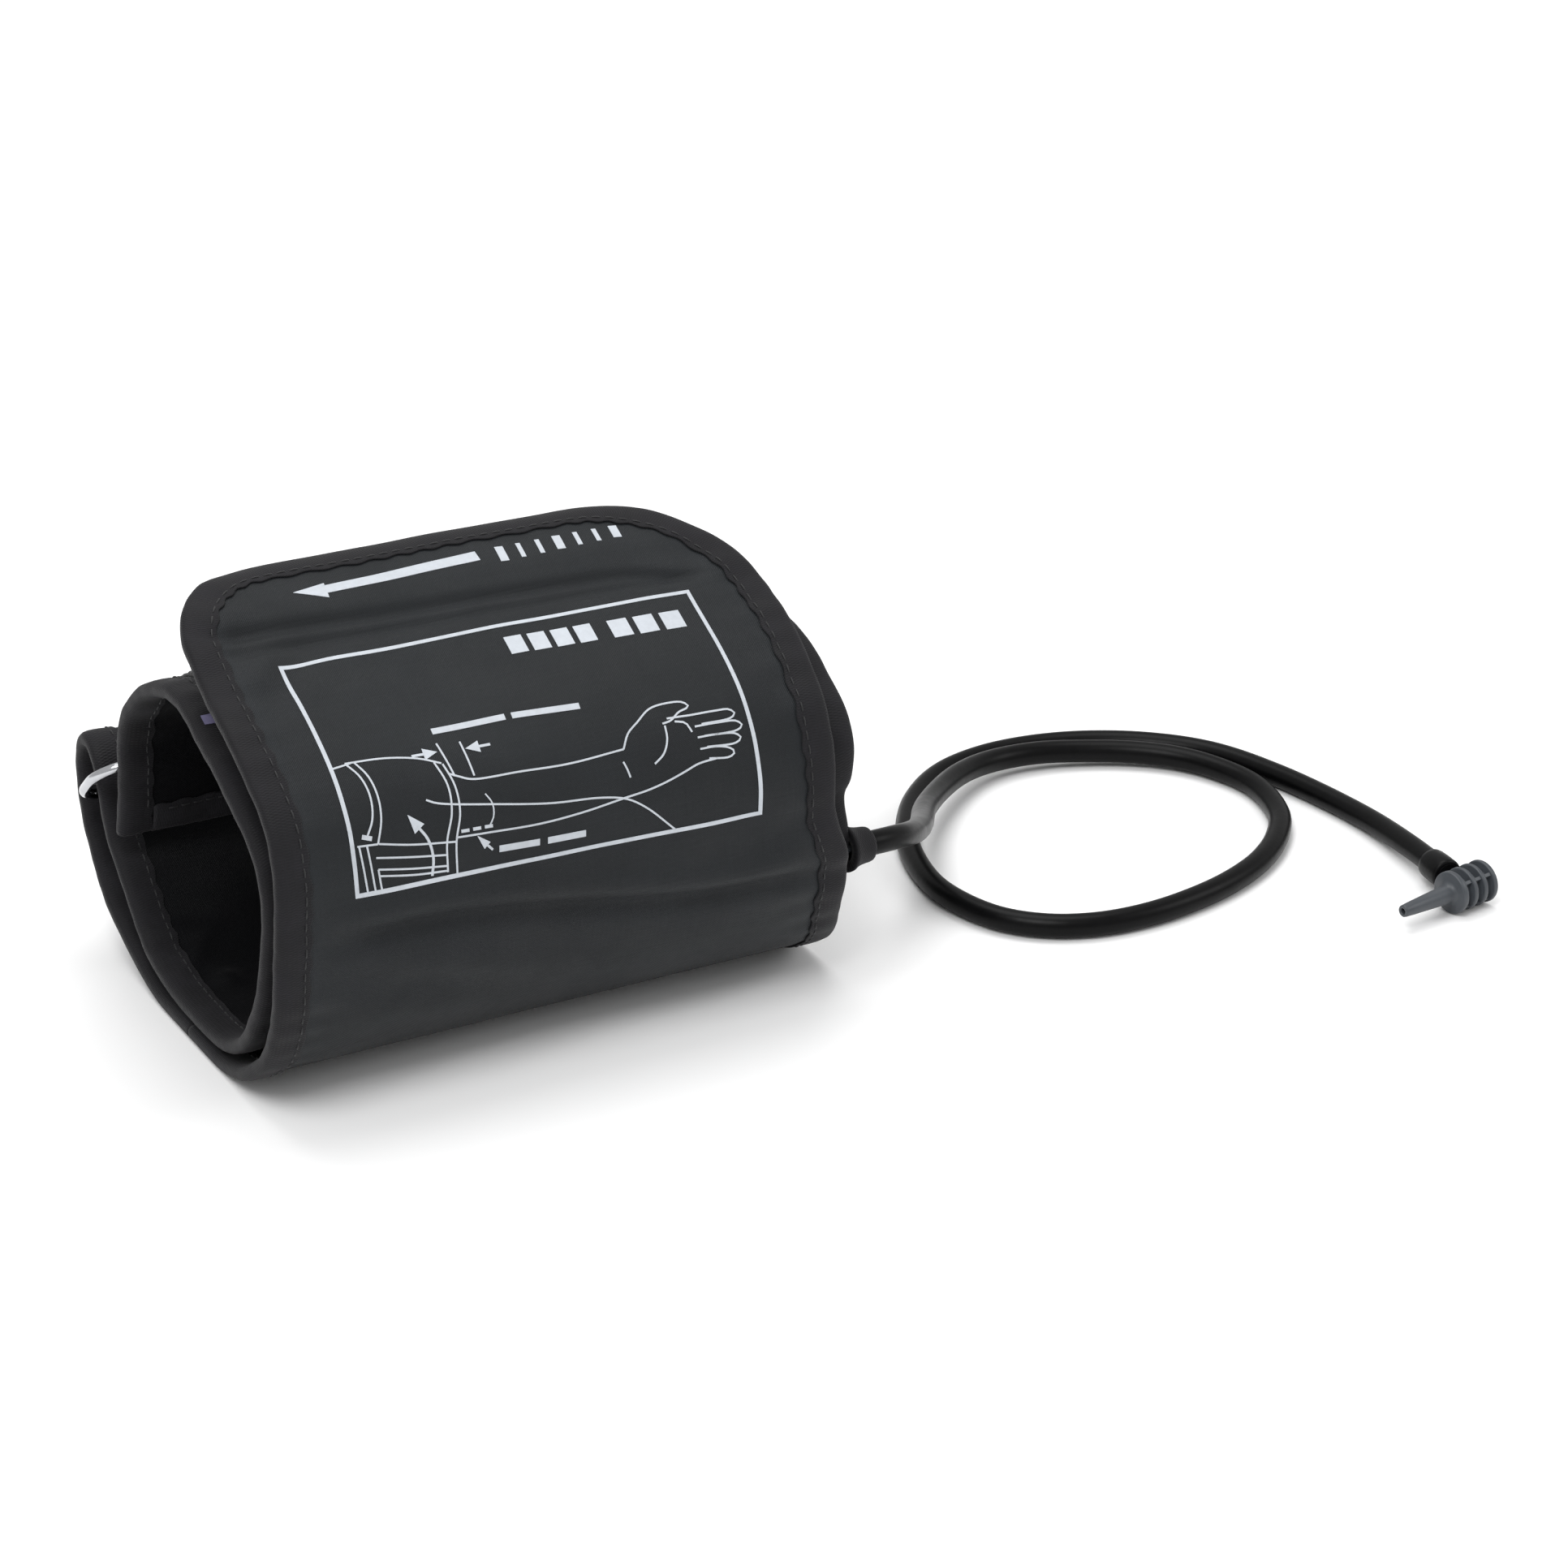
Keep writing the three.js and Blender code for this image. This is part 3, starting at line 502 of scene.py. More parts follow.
# The folded tape's section: inset from the edge, and off the middle surface
TAPE_SECTION = [
    (7.0, 1.45), (7.05, 1.72), (6.8, 1.84), (5.7, 1.74), (4.6, 1.9), (3.0, 1.98), (1.4, 1.94),
    (0.2, 1.75), (-0.55, 1.3), (-0.85, 0.7), (-0.9, 0.0), (-0.85, -0.7), (-0.55, -1.3), (0.2, -1.75),
    (1.4, -1.94), (3.0, -1.98), (4.6, -1.9), (5.7, -1.74), (6.8, -1.84), (7.05, -1.72), (7.0, -1.45),
    (0.1, -1.42), (-0.32, -1.1), (-0.38, 0.0), (-0.32, 1.1), (0.1, 1.42),
]


def tape(name, outline):
    """Folded tape round an edge, its width breathing a little where the seam gathers it."""
    inset = np.array([p[0] for p in TAPE_SECTION])
    off = np.array([p[1] for p in TAPE_SECTION])
    along = distances(outline[:, :2])
    rings, uv = [], []
    for (x, s, in_x, in_s), run in zip(outline, along):
        gather = 1 + 0.045 * math.sin(run / 1.1 + 1.3 * math.sin(run / 7.7)) * float(lift(s))
        reach = inset * gather
        rings.append(surface(x + in_x * reach, s + in_s * reach, off))
        uv.append(np.stack([np.linspace(0, 17, len(inset)), np.full(len(inset), run)], 1))
    return loft(name, rings, uv=np.vstack(uv))


def stitch_rings(centre, ahead, up):
    """Rings of one stitch: a short thread that rises out of the cloth and dips back in."""
    side = np.cross(ahead, up)
    turns = np.arange(STITCH_SIDES) * 2 * math.pi / STITCH_SIDES
    rings = []
    for t, size, rise in STITCH_SHAPE:
        middle = centre + ahead * (t * STITCH_LENGTH) + up * rise
        radius = STITCH_RADIUS * size
        rings.append(middle + radius * (np.cos(turns)[:, None] * side + np.sin(turns)[:, None] * up))
    return rings


def stitch_rows(name, rows):
    """One object with all the stitches of several seams; a row is its points and the side it shows on."""
    points, faces = [], []
    for line_xs, off in rows:
        run = distances(line_xs)
        for at in np.arange(STITCH_PITCH / 2, run[-1], STITCH_PITCH):
            ends = [at - STITCH_LENGTH / 2, at, at + STITCH_LENGTH / 2]
            x, s = columns_at(ends, run, line_xs)
            back, middle, front = surface(x, s, off)
            above = surface(x[1], s[1], off * 1.5)
            ahead = (front - back) / np.linalg.norm(front - back)
            up = (above - middle) / np.linalg.norm(above - middle)
            faces.extend(tube_faces(len(points), len(STITCH_SHAPE), STITCH_SIDES))
            for ring in stitch_rings(middle, ahead, up):
                points.extend(ring)
    return add_mesh(name, points, faces)


# ---------------- node materials
class Paint:
    """A procedural material and short ways to wire it."""

    def __init__(self, name):
        self.material = bpy.data.materials.new(name)
        self.material.use_nodes = True
        self.tree = self.material.node_tree
        self.shader = self.tree.nodes["Principled BSDF"]

    def node(self, kind, **settings):
        made = self.tree.nodes.new(kind)
        for key, value in settings.items():
            setattr(made, key, value)
        return made

    def wire(self, value, socket):
        if isinstance(value, bpy.types.NodeSocket):
            self.tree.links.new(value, socket)
        else:
            socket.default_value = value

    def math(self, operation, a, b=0.0):
        made = self.node("ShaderNodeMath", operation=operation)
        self.wire(a, made.inputs[0])
        self.wire(b, made.inputs[1])
        return made.outputs[0]

    def noise(self, vector, scale, detail=3.0, roughness=0.55):
        made = self.node("ShaderNodeTexNoise")
        self.wire(vector, made.inputs["Vector"])
        made.inputs["Scale"].default_value = scale
        made.inputs["Detail"].default_value = detail
        made.inputs["Roughness"].default_value = roughness
        return made.outputs["Fac"]

    def stretched(self, vector, scale):
        made = self.node("ShaderNodeMapping")
        self.wire(vector, made.inputs["Vector"])
        made.inputs["Scale"].default_value = scale
        return made.outputs["Vector"]

    def ramp(self, factor, stops):
        made = self.node("ShaderNodeValToRGB")
        self.wire(factor, made.inputs["Fac"])
        ends = made.color_ramp.elements
        while len(ends) < len(stops):
            ends.new(0.5)
        for element, (place, colour) in zip(ends, stops):
            element.position = place
            element.color = (*colour, 1)
        return made.outputs["Color"]

    def bump(self, height, strength, distance, under=None):
        made = self.node("ShaderNodeBump")
        made.inputs["Strength"].default_value = strength
        made.inputs["Distance"].default_value = distance
        self.wire(height, made.inputs["Height"])
        if under is not None:
            self.wire(under, made.inputs["Normal"])
        return made.outputs["Normal"]

    def span(self, factor, low, high):
        made = self.node("ShaderNodeMapRange")
        self.wire(factor, made.inputs["Value"])
        made.inputs["From Min"].default_value = 0.25
        made.inputs["From Max"].default_value = 0.75
        made.inputs["To Min"].default_value = low
        made.inputs["To Max"].default_value = high
        return made.outputs["Result"]

    def place(self):
        return self.node("ShaderNodeTexCoord").outputs["Object"]

    def cloth_place(self):
        return self.node("ShaderNodeUVMap", uv_map="cloth_mm").outputs["UV"]


def tint(colour, factor):
    return tuple(c * factor for c in colour)


def woven(name, colour, pitch, roughness=0.56, sheen=0.04, weave=0.35, streak=0.25, lustre=0.34):
    """Plain-woven nylon: crossing threads, uneven yarn, soft patches and paler rubbed edges."""
    paint = Paint(name)
    flat = paint.cloth_place()
    parts = paint.node("ShaderNodeSeparateXYZ")
    paint.wire(flat, parts.inputs[0])
    waves = [
        paint.math("SINE", paint.math("MULTIPLY", parts.outputs[k], 2 * math.pi / pitch)) for k in (0, 1)]
    cross = paint.math("MULTIPLY", waves[0], waves[1])
    weft = paint.noise(paint.stretched(flat, (0.06, 1.6, 1)), 1.0, 2)
    warp = paint.noise(paint.stretched(flat, (1.6, 0.06, 1)), 1.0, 2)
    yarn = paint.math("ADD", paint.math("MULTIPLY", weft, 0.5), paint.math("MULTIPLY", warp, 0.5))
    cloud = paint.noise(paint.place(), 22, 3)
    uneven = paint.math("MULTIPLY", yarn, streak * 2)
    tone = paint.math("ADD", uneven, paint.math("MULTIPLY", cloud, 1 - streak))
    thread = paint.math("MULTIPLY", cross, 0.5 * weave)
    tone = paint.math("ADD", tone, paint.math("MULTIPLY", thread, 0.35))
    rubbed = paint.node("ShaderNodeAttribute", attribute_name="wear").outputs["Fac"]
    worn = paint.math("MULTIPLY", rubbed, paint.noise(paint.place(), 240, 2))
    tone = paint.math("ADD", tone, paint.math("MULTIPLY", worn, 0.35))
    shade = paint.ramp(tone, [(0.25, tint(colour, 0.72)), (0.6, colour), (0.95, tint(colour, 1.5))])
    paint.wire(shade, paint.shader.inputs["Base Color"])
    rough = paint.span(paint.noise(paint.place(), 60, 3), roughness - 0.07, roughness + 0.09)
    paint.wire(rough, paint.shader.inputs["Roughness"])
    soft = paint.bump(cloud, 0.25, 0.0012)
    yarns = paint.bump(yarn, 0.35, 0.0003, soft)
    paint.wire(paint.bump(cross, weave, 0.00012, yarns), paint.shader.inputs["Normal"])
    paint.shader.inputs["Sheen Weight"].default_value = sheen
    paint.shader.inputs["Sheen Roughness"].default_value = 0.45
    paint.shader.inputs["Specular IOR Level"].default_value = lustre
    return paint.material


def ribbed_tape(name, colour):
    """Woven binding tape: fine ribs across its width, crushed here and there."""
    paint = Paint(name)
    flat = paint.cloth_place()
    parts = paint.node("ShaderNodeSeparateXYZ")
    paint.wire(flat, parts.inputs[0])
    ribs = paint.math("SINE", paint.math("MULTIPLY", parts.outputs[1], 2 * math.pi / 0.62))
    picks = paint.math("SINE", paint.math("MULTIPLY", parts.outputs[0], 2 * math.pi / 0.95))
    grain = paint.math("MULTIPLY", ribs, picks)
    crushed = paint.noise(paint.place(), 130, 3)
    shade = paint.ramp(
        paint.math("ADD", crushed, paint.math("MULTIPLY", ribs, 0.08)),
        [(0.3, tint(colour, 0.7)), (0.55, colour), (0.8, tint(colour, 1.6))])
    paint.wire(shade, paint.shader.inputs["Base Color"])
    paint.wire(paint.span(crushed, 0.6, 0.8), paint.shader.inputs["Roughness"])
    gathered = paint.bump(crushed, 0.4, 0.0006)
    paint.wire(paint.bump(grain, 0.4, 0.00012, gathered), paint.shader.inputs["Normal"])
    paint.shader.inputs["Sheen Weight"].default_value = 0.05
    paint.shader.inputs["Specular IOR Level"].default_value = 0.2
    return paint.material


def mottled(
        name, colour, roughness, fine, depth,
        metallic=0.0, spread=0.1, sheen=0.0, contrast=0.25, gloss=0.5):
    """Moulded, extruded, plated or printed stuff: fine grain, faint clouding and uneven gloss."""
    paint = Paint(name)
    grain = paint.noise(paint.place(), fine, 4)
    cloud = paint.noise(paint.place(), 35, 2)
    tone = paint.math("ADD", paint.math("MULTIPLY", grain, 0.5), paint.math("MULTIPLY", cloud, 0.5))
    shade = paint.ramp(
        tone, [(0.3, tint(colour, 1 - contrast)), (0.5, colour), (0.72, tint(colour, 1 + contrast))])
    paint.wire(shade, paint.shader.inputs["Base Color"])
    paint.wire(paint.span(tone, roughness - spread, roughness + spread), paint.shader.inputs["Roughness"])
    paint.wire(paint.bump(grain, 0.3, depth), paint.shader.inputs["Normal"])
    paint.shader.inputs["Metallic"].default_value = metallic
    paint.shader.inputs["Specular IOR Level"].default_value = gloss
    paint.shader.inputs["Sheen Weight"].default_value = sheen
    return paint.material


FRONT = woven("nylon_front", (0.0070, 0.0086, 0.0102), 0.55, lustre=0.25)
BACK = woven("nylon_back", (0.0050, 0.0057, 0.0066), 0.55, lustre=0.28)
# Painted shade: the lining's colour is kept far darker than the outer cloth's, so the inside of the roll
# looks shadowed
LINING_PAINTED_SHADE = woven("nylon_lining_painted_shade", (0.0017, 0.0018, 0.0024), 0.55, roughness=0.5, lustre=0.11)
TAPE = ribbed_tape("binding_tape", (0.0090, 0.0086, 0.0104))
THREAD = mottled("sewing_thread", (0.0045, 0.0045, 0.0055), 0.6, 900, 0.0002, sheen=0.1)
INK = mottled("screen_print_white", (0.47, 0.50, 0.54), 0.6, 700, 0.00008, contrast=0.12)
MARK = mottled("size_mark_lilac", (0.13, 0.12, 0.21), 0.6, 700, 0.00008)
LOOPS = mottled("loop_pile", (0.008, 0.008, 0.009), 0.92, 1400, 0.0008, sheen=0.2, contrast=0.5)
HOOKS = mottled("hook_tape", (0.012, 0.012, 0.013), 0.6, 800, 0.0003, contrast=0.4)
FILM = mottled("bladder_film", (0.33, 0.33, 0.29), 0.5, 300, 0.0003)
RUBBER = mottled(
    "hose_rubber", (0.0020, 0.0020, 0.0022), 0.36, 420, 0.00012, spread=0.07, contrast=0.3, gloss=0.12)
PLASTIC = mottled("grey_plastic", (0.044, 0.050, 0.058), 0.42, 520, 0.00012, contrast=0.14)
CHROME = mottled(
    "plated_wire", (0.52, 0.53, 0.55), 0.17, 650, 0.00006, metallic=1.0, spread=0.07, contrast=0.1)


def install(piece, material, body, node=None):
    """Give a piece its look and hide the CAD node it replaces; a flap piece has its transform baked in,
    any other goes under its body's empty.
    """
    piece.data.materials.clear()
    piece.data.materials.append(material)
    if node:
        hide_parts(node)
    if body == "flap":
        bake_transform(piece)
    else:
        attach(piece, body)


# ---------------- hose
def make_hose():
    data = bpy.data.curves.new("air_hose", "CURVE")
    data.dimensions = "3D"
    data.bevel_depth = HOSE_DIAMETER / 2
    data.bevel_resolution = 8
    data.use_fill_caps = True
    route = centripetal(HOSE_PATH, 8)
    spline = data.splines.new("POLY")
    spline.points.add(len(route) - 1)
    for point, (x, y, z) in zip(spline.points, route):
        point.co = (x * MM, (y + FRAME_Y) * MM, z * MM, 1)
    spline.use_smooth = True
    made = bpy.data.objects.new("air_hose", data)
    bpy.context.collection.objects.link(made)
    install(made, RUBBER, "cuff", "hose")
    return made, route


hose, HOSE_ROUTE = make_hose()


def square_to(axis):
    """Two directions square to an axis that isn't upright, and to each other."""
    side = np.cross((0, 0, 1.0), axis)
    side /= np.linalg.norm(side)
    return side, np.cross(axis, side)


def turned(start, end, profile, sides=40):
    """Rings of a turned piece: profile holds (millimetres from start towards end, radius) pairs."""
    start, end = np.array(start, float), np.array(end, float)
    axis = (end - start) / np.linalg.norm(end - start)
    side, up = square_to(axis)
    turns = np.arange(sides) * 2 * math.pi / sides
    circle = np.cos(turns)[:, None] * side + np.sin(turns)[:, None] * up
    return [start + axis * at + radius * circle + (0, FRAME_Y, 0) for at, radius in profile]


def unit(way):
    return way / np.linalg.norm(way)


END_POINTS = 10  # route points that give the hose's direction at an end
HOSE_START = HOSE_ROUTE[0]
HOSE_STOP = HOSE_ROUTE[-1]
OUT = unit(HOSE_ROUTE[END_POINTS - 1] - HOSE_START)
IN = unit(HOSE_STOP - HOSE_ROUTE[-END_POINTS])
outlet_profile = [
    (-1.2, 3.1), (-1.2, 5.6), (-0.4, 5.5), (0.4, 5.05), (1.2, 4.75), (2.2, 4.5), (3.4, 4.35), (4.6, 4.25),
    (5.2, 4.1), (5.5, 3.8), (5.4, 3.4), (5.0, 3.12)]
outlet_rings = turned(HOSE_START, HOSE_START + OUT, outlet_profile)
outlet_uv = [(j * 0.7, at) for at, radius in outlet_profile for j in range(40)]
outlet = loft("hose_outlet_sleeve", outlet_rings, closed=True, uv=outlet_uv)
install(outlet, TAPE, "cuff", "hose_outlet")
collar_profile = [
    (-9.0, 3.05), (-9.0, 3.4), (-8.7, 3.7), (-7.6, 3.86), (-4.4, 3.95), (-1.4, 3.9), (-0.7, 3.75),
    (-0.4, 3.4), (-0.4, 1.6), (-0.8, 1.5), (-1.2, 3.05)]
collar = loft("hose_collar", turned(HOSE_STOP, HOSE_STOP + IN, collar_profile), closed=True)
install(collar, RUBBER, "cuff", "hose_end_collar")

# The plug's elbow: millimetres back into the hose from its end, and radius
STEM_PROFILE = [
    (7.4, 0.5), (7.4, 2.3), (6.9, 2.45), (0.6, 2.45), (0.3, 2.2), (0.2, 1.5), (-0.4, 1.5), (-1.4, 1.9),
    (-1.6, 1.5), (-2.6, 1.9), (-2.8, 1.4), (-5.0, 1.3), (-5.0, 0.65), (2.0, 0.65)]


def plug_profile(total):
    """The rims on their hub, then the tapered nozzle and its bore."""
    rim, root = FIN_RADIUS, HUB_RADIUS + 0.25
    profile = [(0.0, 0.6), (0.0, rim - 0.35), (0.12, rim - 0.1), (0.35, rim)]
    for i in range(FIN_COUNT):
        thick = LAST_FIN_THICK if i == FIN_COUNT - 1 else FIN_THICK
        at = i * FIN_PITCH
        if i:
            profile += [(at, root), (at + 0.05, rim - 0.35), (at + 0.17, rim - 0.1), (at + 0.4, rim)]
        profile += [
            (at + thick - 0.35, rim), (at + thick - 0.12, rim - 0.1), (at + thick, rim - 0.35),
            (at + thick + 0.05, root), (at + thick + 0.3, HUB_RADIUS)]
    return profile + [
        (HUB_LENGTH + 0.5, 2.65), (HUB_LENGTH + 1.3, 2.35), (total - 3.0, 1.72), (total - 0.5, 1.52),
        (total - 0.12, 1.45), (total, 1.3), (total, 0.85), (total - 0.4, 0.75), (total - 9.0, 0.7),
        (6.5, 0.3)]


def plug_rib(rear, axis, lean):
    """A thin web along the hub that ties the rims together."""
    side, up = square_to(axis)
    out = math.cos(lean) * side + math.sin(lean) * up
    wide = np.cross(axis, out)
    foot, reach = out * 2.2, out * (FIN_RADIUS - 0.5)
    rings = []
    for at in (1.1, 3.0, HUB_LENGTH - 1.5, HUB_LENGTH - 0.2):
        base = rear + axis * at + (0, FRAME_Y, 0)
        rings.append([
            base + foot - wide * RIB_HALF, base + reach - wide * (RIB_HALF - 0.05),
            base + reach + wide * (RIB_HALF - 0.05), base + foot + wide * RIB_HALF])
    return loft("air_plug_rib", rings, smooth=False)


def make_plug():
    """Grey plug: four rims on a hub, a tapered nozzle with its bore, ribs, and an elbow into the hose."""
    rear, tip = np.array(PLUG_REAR), np.array(PLUG_TIP)
    total = float(np.linalg.norm(tip - rear))
    parts = [
        loft("air_plug_body", turned(rear, tip, plug_profile(total), 48)),
        loft("air_plug_stem", turned(HOSE_STOP, HOSE_STOP - IN, STEM_PROFILE, 36))]
    for degrees in range(45, 405, 90):
        parts.append(plug_rib(rear, unit(tip - rear), math.radians(degrees)))
    made = joined(parts)
    install(made, PLASTIC, "cuff", "air_plug")
    return made


plug = make_plug()


# ---------------- cloth
def stations(start, end, step):
    return np.linspace(start, end, int((end - start) / step) + 1)


def flap_left(s):
    return left_edge(s) + corner_inset(s, CORNER_LEFT)


def flap_right(s):
    return right_edge(s) - corner_inset(s, CORNER_RIGHT)


# Stations along the strip, closer together round the corners of the free end
inner_rows = stations(0, SPLIT - 0.1, 1.9)
outer_rows = np.concatenate([
    stations(SPLIT + 0.1, STRIP_LENGTH - 42, 1.3),
    stations(STRIP_LENGTH - 41.2, STRIP_LENGTH - 3.2, 0.8),
    STRIP_LENGTH - np.array([2.4, 1.6, 1.0, 0.6, 0.3, 0.12, 0.02])])
LOW, HIGH = CLOTH
lining = cloth_slab("inner_lining", left_edge, right_edge, inner_rows, INNER_COLUMNS, -HIGH, -LOW)
shell = cloth_slab("inner_shell", left_edge, right_edge, inner_rows, INNER_COLUMNS, LOW, HIGH)
face = cloth_slab("flap_face", flap_left, flap_right, outer_rows, FACE_COLUMNS, -HIGH, -LOW)
backing = cloth_slab("flap_backing", flap_left, flap_right, outer_rows, BACKING_COLUMNS, LOW, HIGH)

inner_left = straight_outline(left_edge, 1, 0, SPLIT - 0.05, 1.1)
inner_right = straight_outline(right_edge, -1, 0, SPLIT - 0.05, 1.1)
around = outer_outline(1.1)
tape_left = tape("binding_left", inner_left)
tape_right = tape("binding_right", inner_right)
tape_outer = tape("binding_flap", around)
tab_x = np.linspace(-65.4, 65.4, 120)
tab_outline = np.stack([tab_x, np.zeros_like(tab_x), np.zeros_like(tab_x), np.ones_like(tab_x)], 1)
tape_tab = tape("binding_tab", tab_outline)


def seam_rows(outline):
    """The seam inside an outline's tape, on both faces of the cloth."""
    path = outline[:, :2] + outline[:, 2:] * SEAM_INSET
    return [(path, SEAM_OFF), (path, -SEAM_OFF)]


stitches_left = stitch_rows("stitches_left", seam_rows(inner_left[6:]) + seam_rows(tab_outline[3:-3]))
stitches_right = stitch_rows("stitches_right", seam_rows(inner_right[6:]))
stitches_flap = stitch_rows("stitches_flap", seam_rows(around))

for piece, material, slot, body, node in (
    (lining, LINING_PAINTED_SHADE, "lining", "cuff", "lining_cloth"),
    (shell, BACK, "cloth", "cuff", "outer_cloth"),
    (tape_left, TAPE, "tape", "cuff", "edge_binding_left"),
    (tape_right, TAPE, "tape", "cuff", "edge_binding_right"),
    (tape_tab, TAPE, "tape", "cuff", "tab_binding"),
    (stitches_left, THREAD, "thread", "cuff", "edge_thread_left"),
    (stitches_right, THREAD, "thread", "cuff", "edge_thread_right"),
    (face, FRONT, "cloth", "flap", "flap_printed_cloth"),
    (backing, BACK, "cloth", "flap", "flap_backing_cloth"),
    (tape_outer, TAPE, "tape", "flap", "flap_binding"),
    (stitches_flap, THREAD, "thread", "flap", "flap_thread"),
):
    install(piece, material, body, node)


# ---------------- bladder, panels
def side_at(x):
    """A straight side, for cloth_slab."""
    return lambda s: np.full_like(s, x)


def bladder_sheet(name, low, high):
    return cloth_slab(
        name, side_at(-BLADDER_HALF), side_at(BLADDER_HALF), stations(*BLADDER, 2.4), 50, low, high)


bladder_inner = bladder_sheet("bladder_film_inner", -FILM_OFF[1], -FILM_OFF[0])
bladder_outer = bladder_sheet("bladder_film_outer", *FILM_OFF)
install(bladder_inner, FILM, "cuff", "bladder_sheet_inner")
install(bladder_outer, FILM, "cuff", "bladder_sheet_outer")
for port_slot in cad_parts["bladder_port"].material_slots:
    port_slot.material = PLASTIC

loop_pile = cloth_slab(
    "loop_pile", side_at(-LOOP_HALF), side_at(LOOP_HALF), stations(*LOOP_SPAN, 0.9), 143, *LOOP_OFF,
    rough=0.13)
install(loop_pile, LOOPS, "cuff", "loop_panel")


def make_hooks():
    """Hook tape: a base sheet with rows of small bent stubs."""
    start, end = STRIP_LENGTH - HOOK_BACK[0], STRIP_LENGTH - HOOK_BACK[1]
    base = cloth_slab(
        "hook_tape", side_at(HOOK_X[0]), side_at(HOOK_X[1]), stations(start, end, 1.2), 76, *HOOK_OFF)
    stub = ((1.7, 0.3, 0), (2.15, 0.2, 0.05), (2.32, 0.16, 0.35))  # height, half width and bend
    points, faces = [], []
    for row, s in enumerate(np.arange(start + 1.2, end - 1, HOOK_PITCH)):
        stagger = 0.7 * (row % 2)
        for x in np.arange(HOOK_X[0] + 1.2 + stagger, HOOK_X[1] - 1, HOOK_PITCH):
            faces.extend(tube_faces(len(points), len(stub), 4))
            for height, wide, bend in stub:
                ring_x = x + wide * np.array([-1, 1, 1, -1])
                ring_s = s + bend + wide * np.array([-1, -1, 1, 1])
                points.extend(surface(ring_x, ring_s, height))
    return joined([base, add_mesh("hook_stubs", points, faces, smooth=False)])


hook_tape = make_hooks()
install(hook_tape, HOOKS, "flap", "hook_patch")


# ---------------- ring and its sleeve
bar_y, bar_z = columns_at(RING_AT, LINE_S, line)
bar_run_y, bar_run_z = columns_at(RING_AT, LINE_S, slopes)
BAR = np.array([0, bar_y + RING_OFFSET * bar_run_z, bar_z - RING_OFFSET * bar_run_y])


def make_ring():
    """A closed rectangle of wire with rounded corners, from its fixed bar out to its outer bar."""
    out = np.array([0, OUTER_BAR[0] - BAR[1], OUTER_BAR[1] - BAR[2]])
    depth = float(np.linalg.norm(out))
    out /= depth
    across = np.array([1.0, 0, 0])
    up = np.cross(across, out)
    spin = np.arange(WIRE_SIDES) * 2 * math.pi / WIRE_SIDES
    far_x = RING_HALF_LENGTH - RING_CORNER
    corners = (
        (far_x, RING_CORNER, -90), (far_x, depth - RING_CORNER, 0),
        (-far_x, depth - RING_CORNER, 90), (-far_x, RING_CORNER, 180))
    rings = []
    for x, d, start in corners:
        for degrees in np.linspace(0, 90, CORNER_STEPS):
            turn = math.radians(start + degrees)
            radial = across * math.cos(turn) + out * math.sin(turn)
            centre = np.array([x, BAR[1] + FRAME_Y, BAR[2]]) + out * d + radial * RING_CORNER
            rings.append(
                centre + WIRE_RADIUS * (np.cos(spin)[:, None] * radial + np.sin(spin)[:, None] * up))
    return loft("wire_ring", rings, closed=True)


ring = make_ring()
install(ring, CHROME, "ring", "metal_ring")


def make_sleeve():
    """Cloth band sewn over the ring's fixed bar."""
    inner, outer = WIRE_RADIUS + 0.4, WIRE_RADIUS + 0.95
    foot, low, wall = 9.0, 1.62, 0.55

    def arc(radius):
        turns = [math.radians(degrees) for degrees in range(0, 181, 15)]
        return [(-radius * math.cos(turn), RING_OFFSET + radius * math.sin(turn)) for turn in turns]

    top = low + wall
    section = [(-foot, low), (-foot, top), (-outer - 1.4, top), (-outer - 0.4, top + 0.25)]
    section += arc(outer)
    section += [(outer + 0.4, top + 0.25), (outer + 1.4, top), (foot, top), (foot, low)]
    section += [(inner + 0.1, low)] + arc(inner)[::-1] + [(-inner - 0.1, low)]
    steps = np.array([p[0] for p in section])
    offs = np.array([p[1] for p in section])
    rings, uv = [], []
    for x in np.linspace(-SLEEVE_HALF, SLEEVE_HALF, 90):
        ripple = 0.12 * math.sin(x / 2.6 + math.sin(x / 7))
        rings.append(surface(x, RING_AT + steps, offs + ripple * (offs > top)))
        uv.append(np.stack([np.full(len(steps), x), np.linspace(0, 34, len(steps))], 1))
    return loft("ring_sleeve_band", rings, uv=np.vstack(uv))


sleeve = make_sleeve()
install(sleeve, BACK, "cuff", "ring_sleeve")


def box_line(x0, x1, s0, s1):
    return np.array([(x0, s0), (x1, s0), (x1, s1), (x0, s1), (x0, s0)])


LOOP_INSET = 1.6  # of the stitching inside a panel's edge
HOOK_INSET = 1.2
panel_seams = [
    (np.stack([np.linspace(-58, 58, 60), np.full(60, RING_AT + at)], 1), 2.3) for at in (-7.0, 7.0)]
loop_box = box_line(
    LOOP_INSET - LOOP_HALF, LOOP_HALF - LOOP_INSET, LOOP_SPAN[0] + LOOP_INSET, LOOP_SPAN[1] - LOOP_INSET)
panel_seams.append((loop_box, 2.28))
panel_stitches = stitch_rows("stitches_panels", panel_seams)
install(panel_stitches, THREAD, "cuff")
hook_box = box_line(
    HOOK_X[0] + HOOK_INSET, HOOK_X[1] - HOOK_INSET,
    STRIP_LENGTH - HOOK_BACK[0] + HOOK_INSET, STRIP_LENGTH - HOOK_BACK[1] - HOOK_INSET)
hook_stitches = stitch_rows("stitches_hook", [(hook_box, 1.95)])
install(hook_stitches, THREAD, "flap")

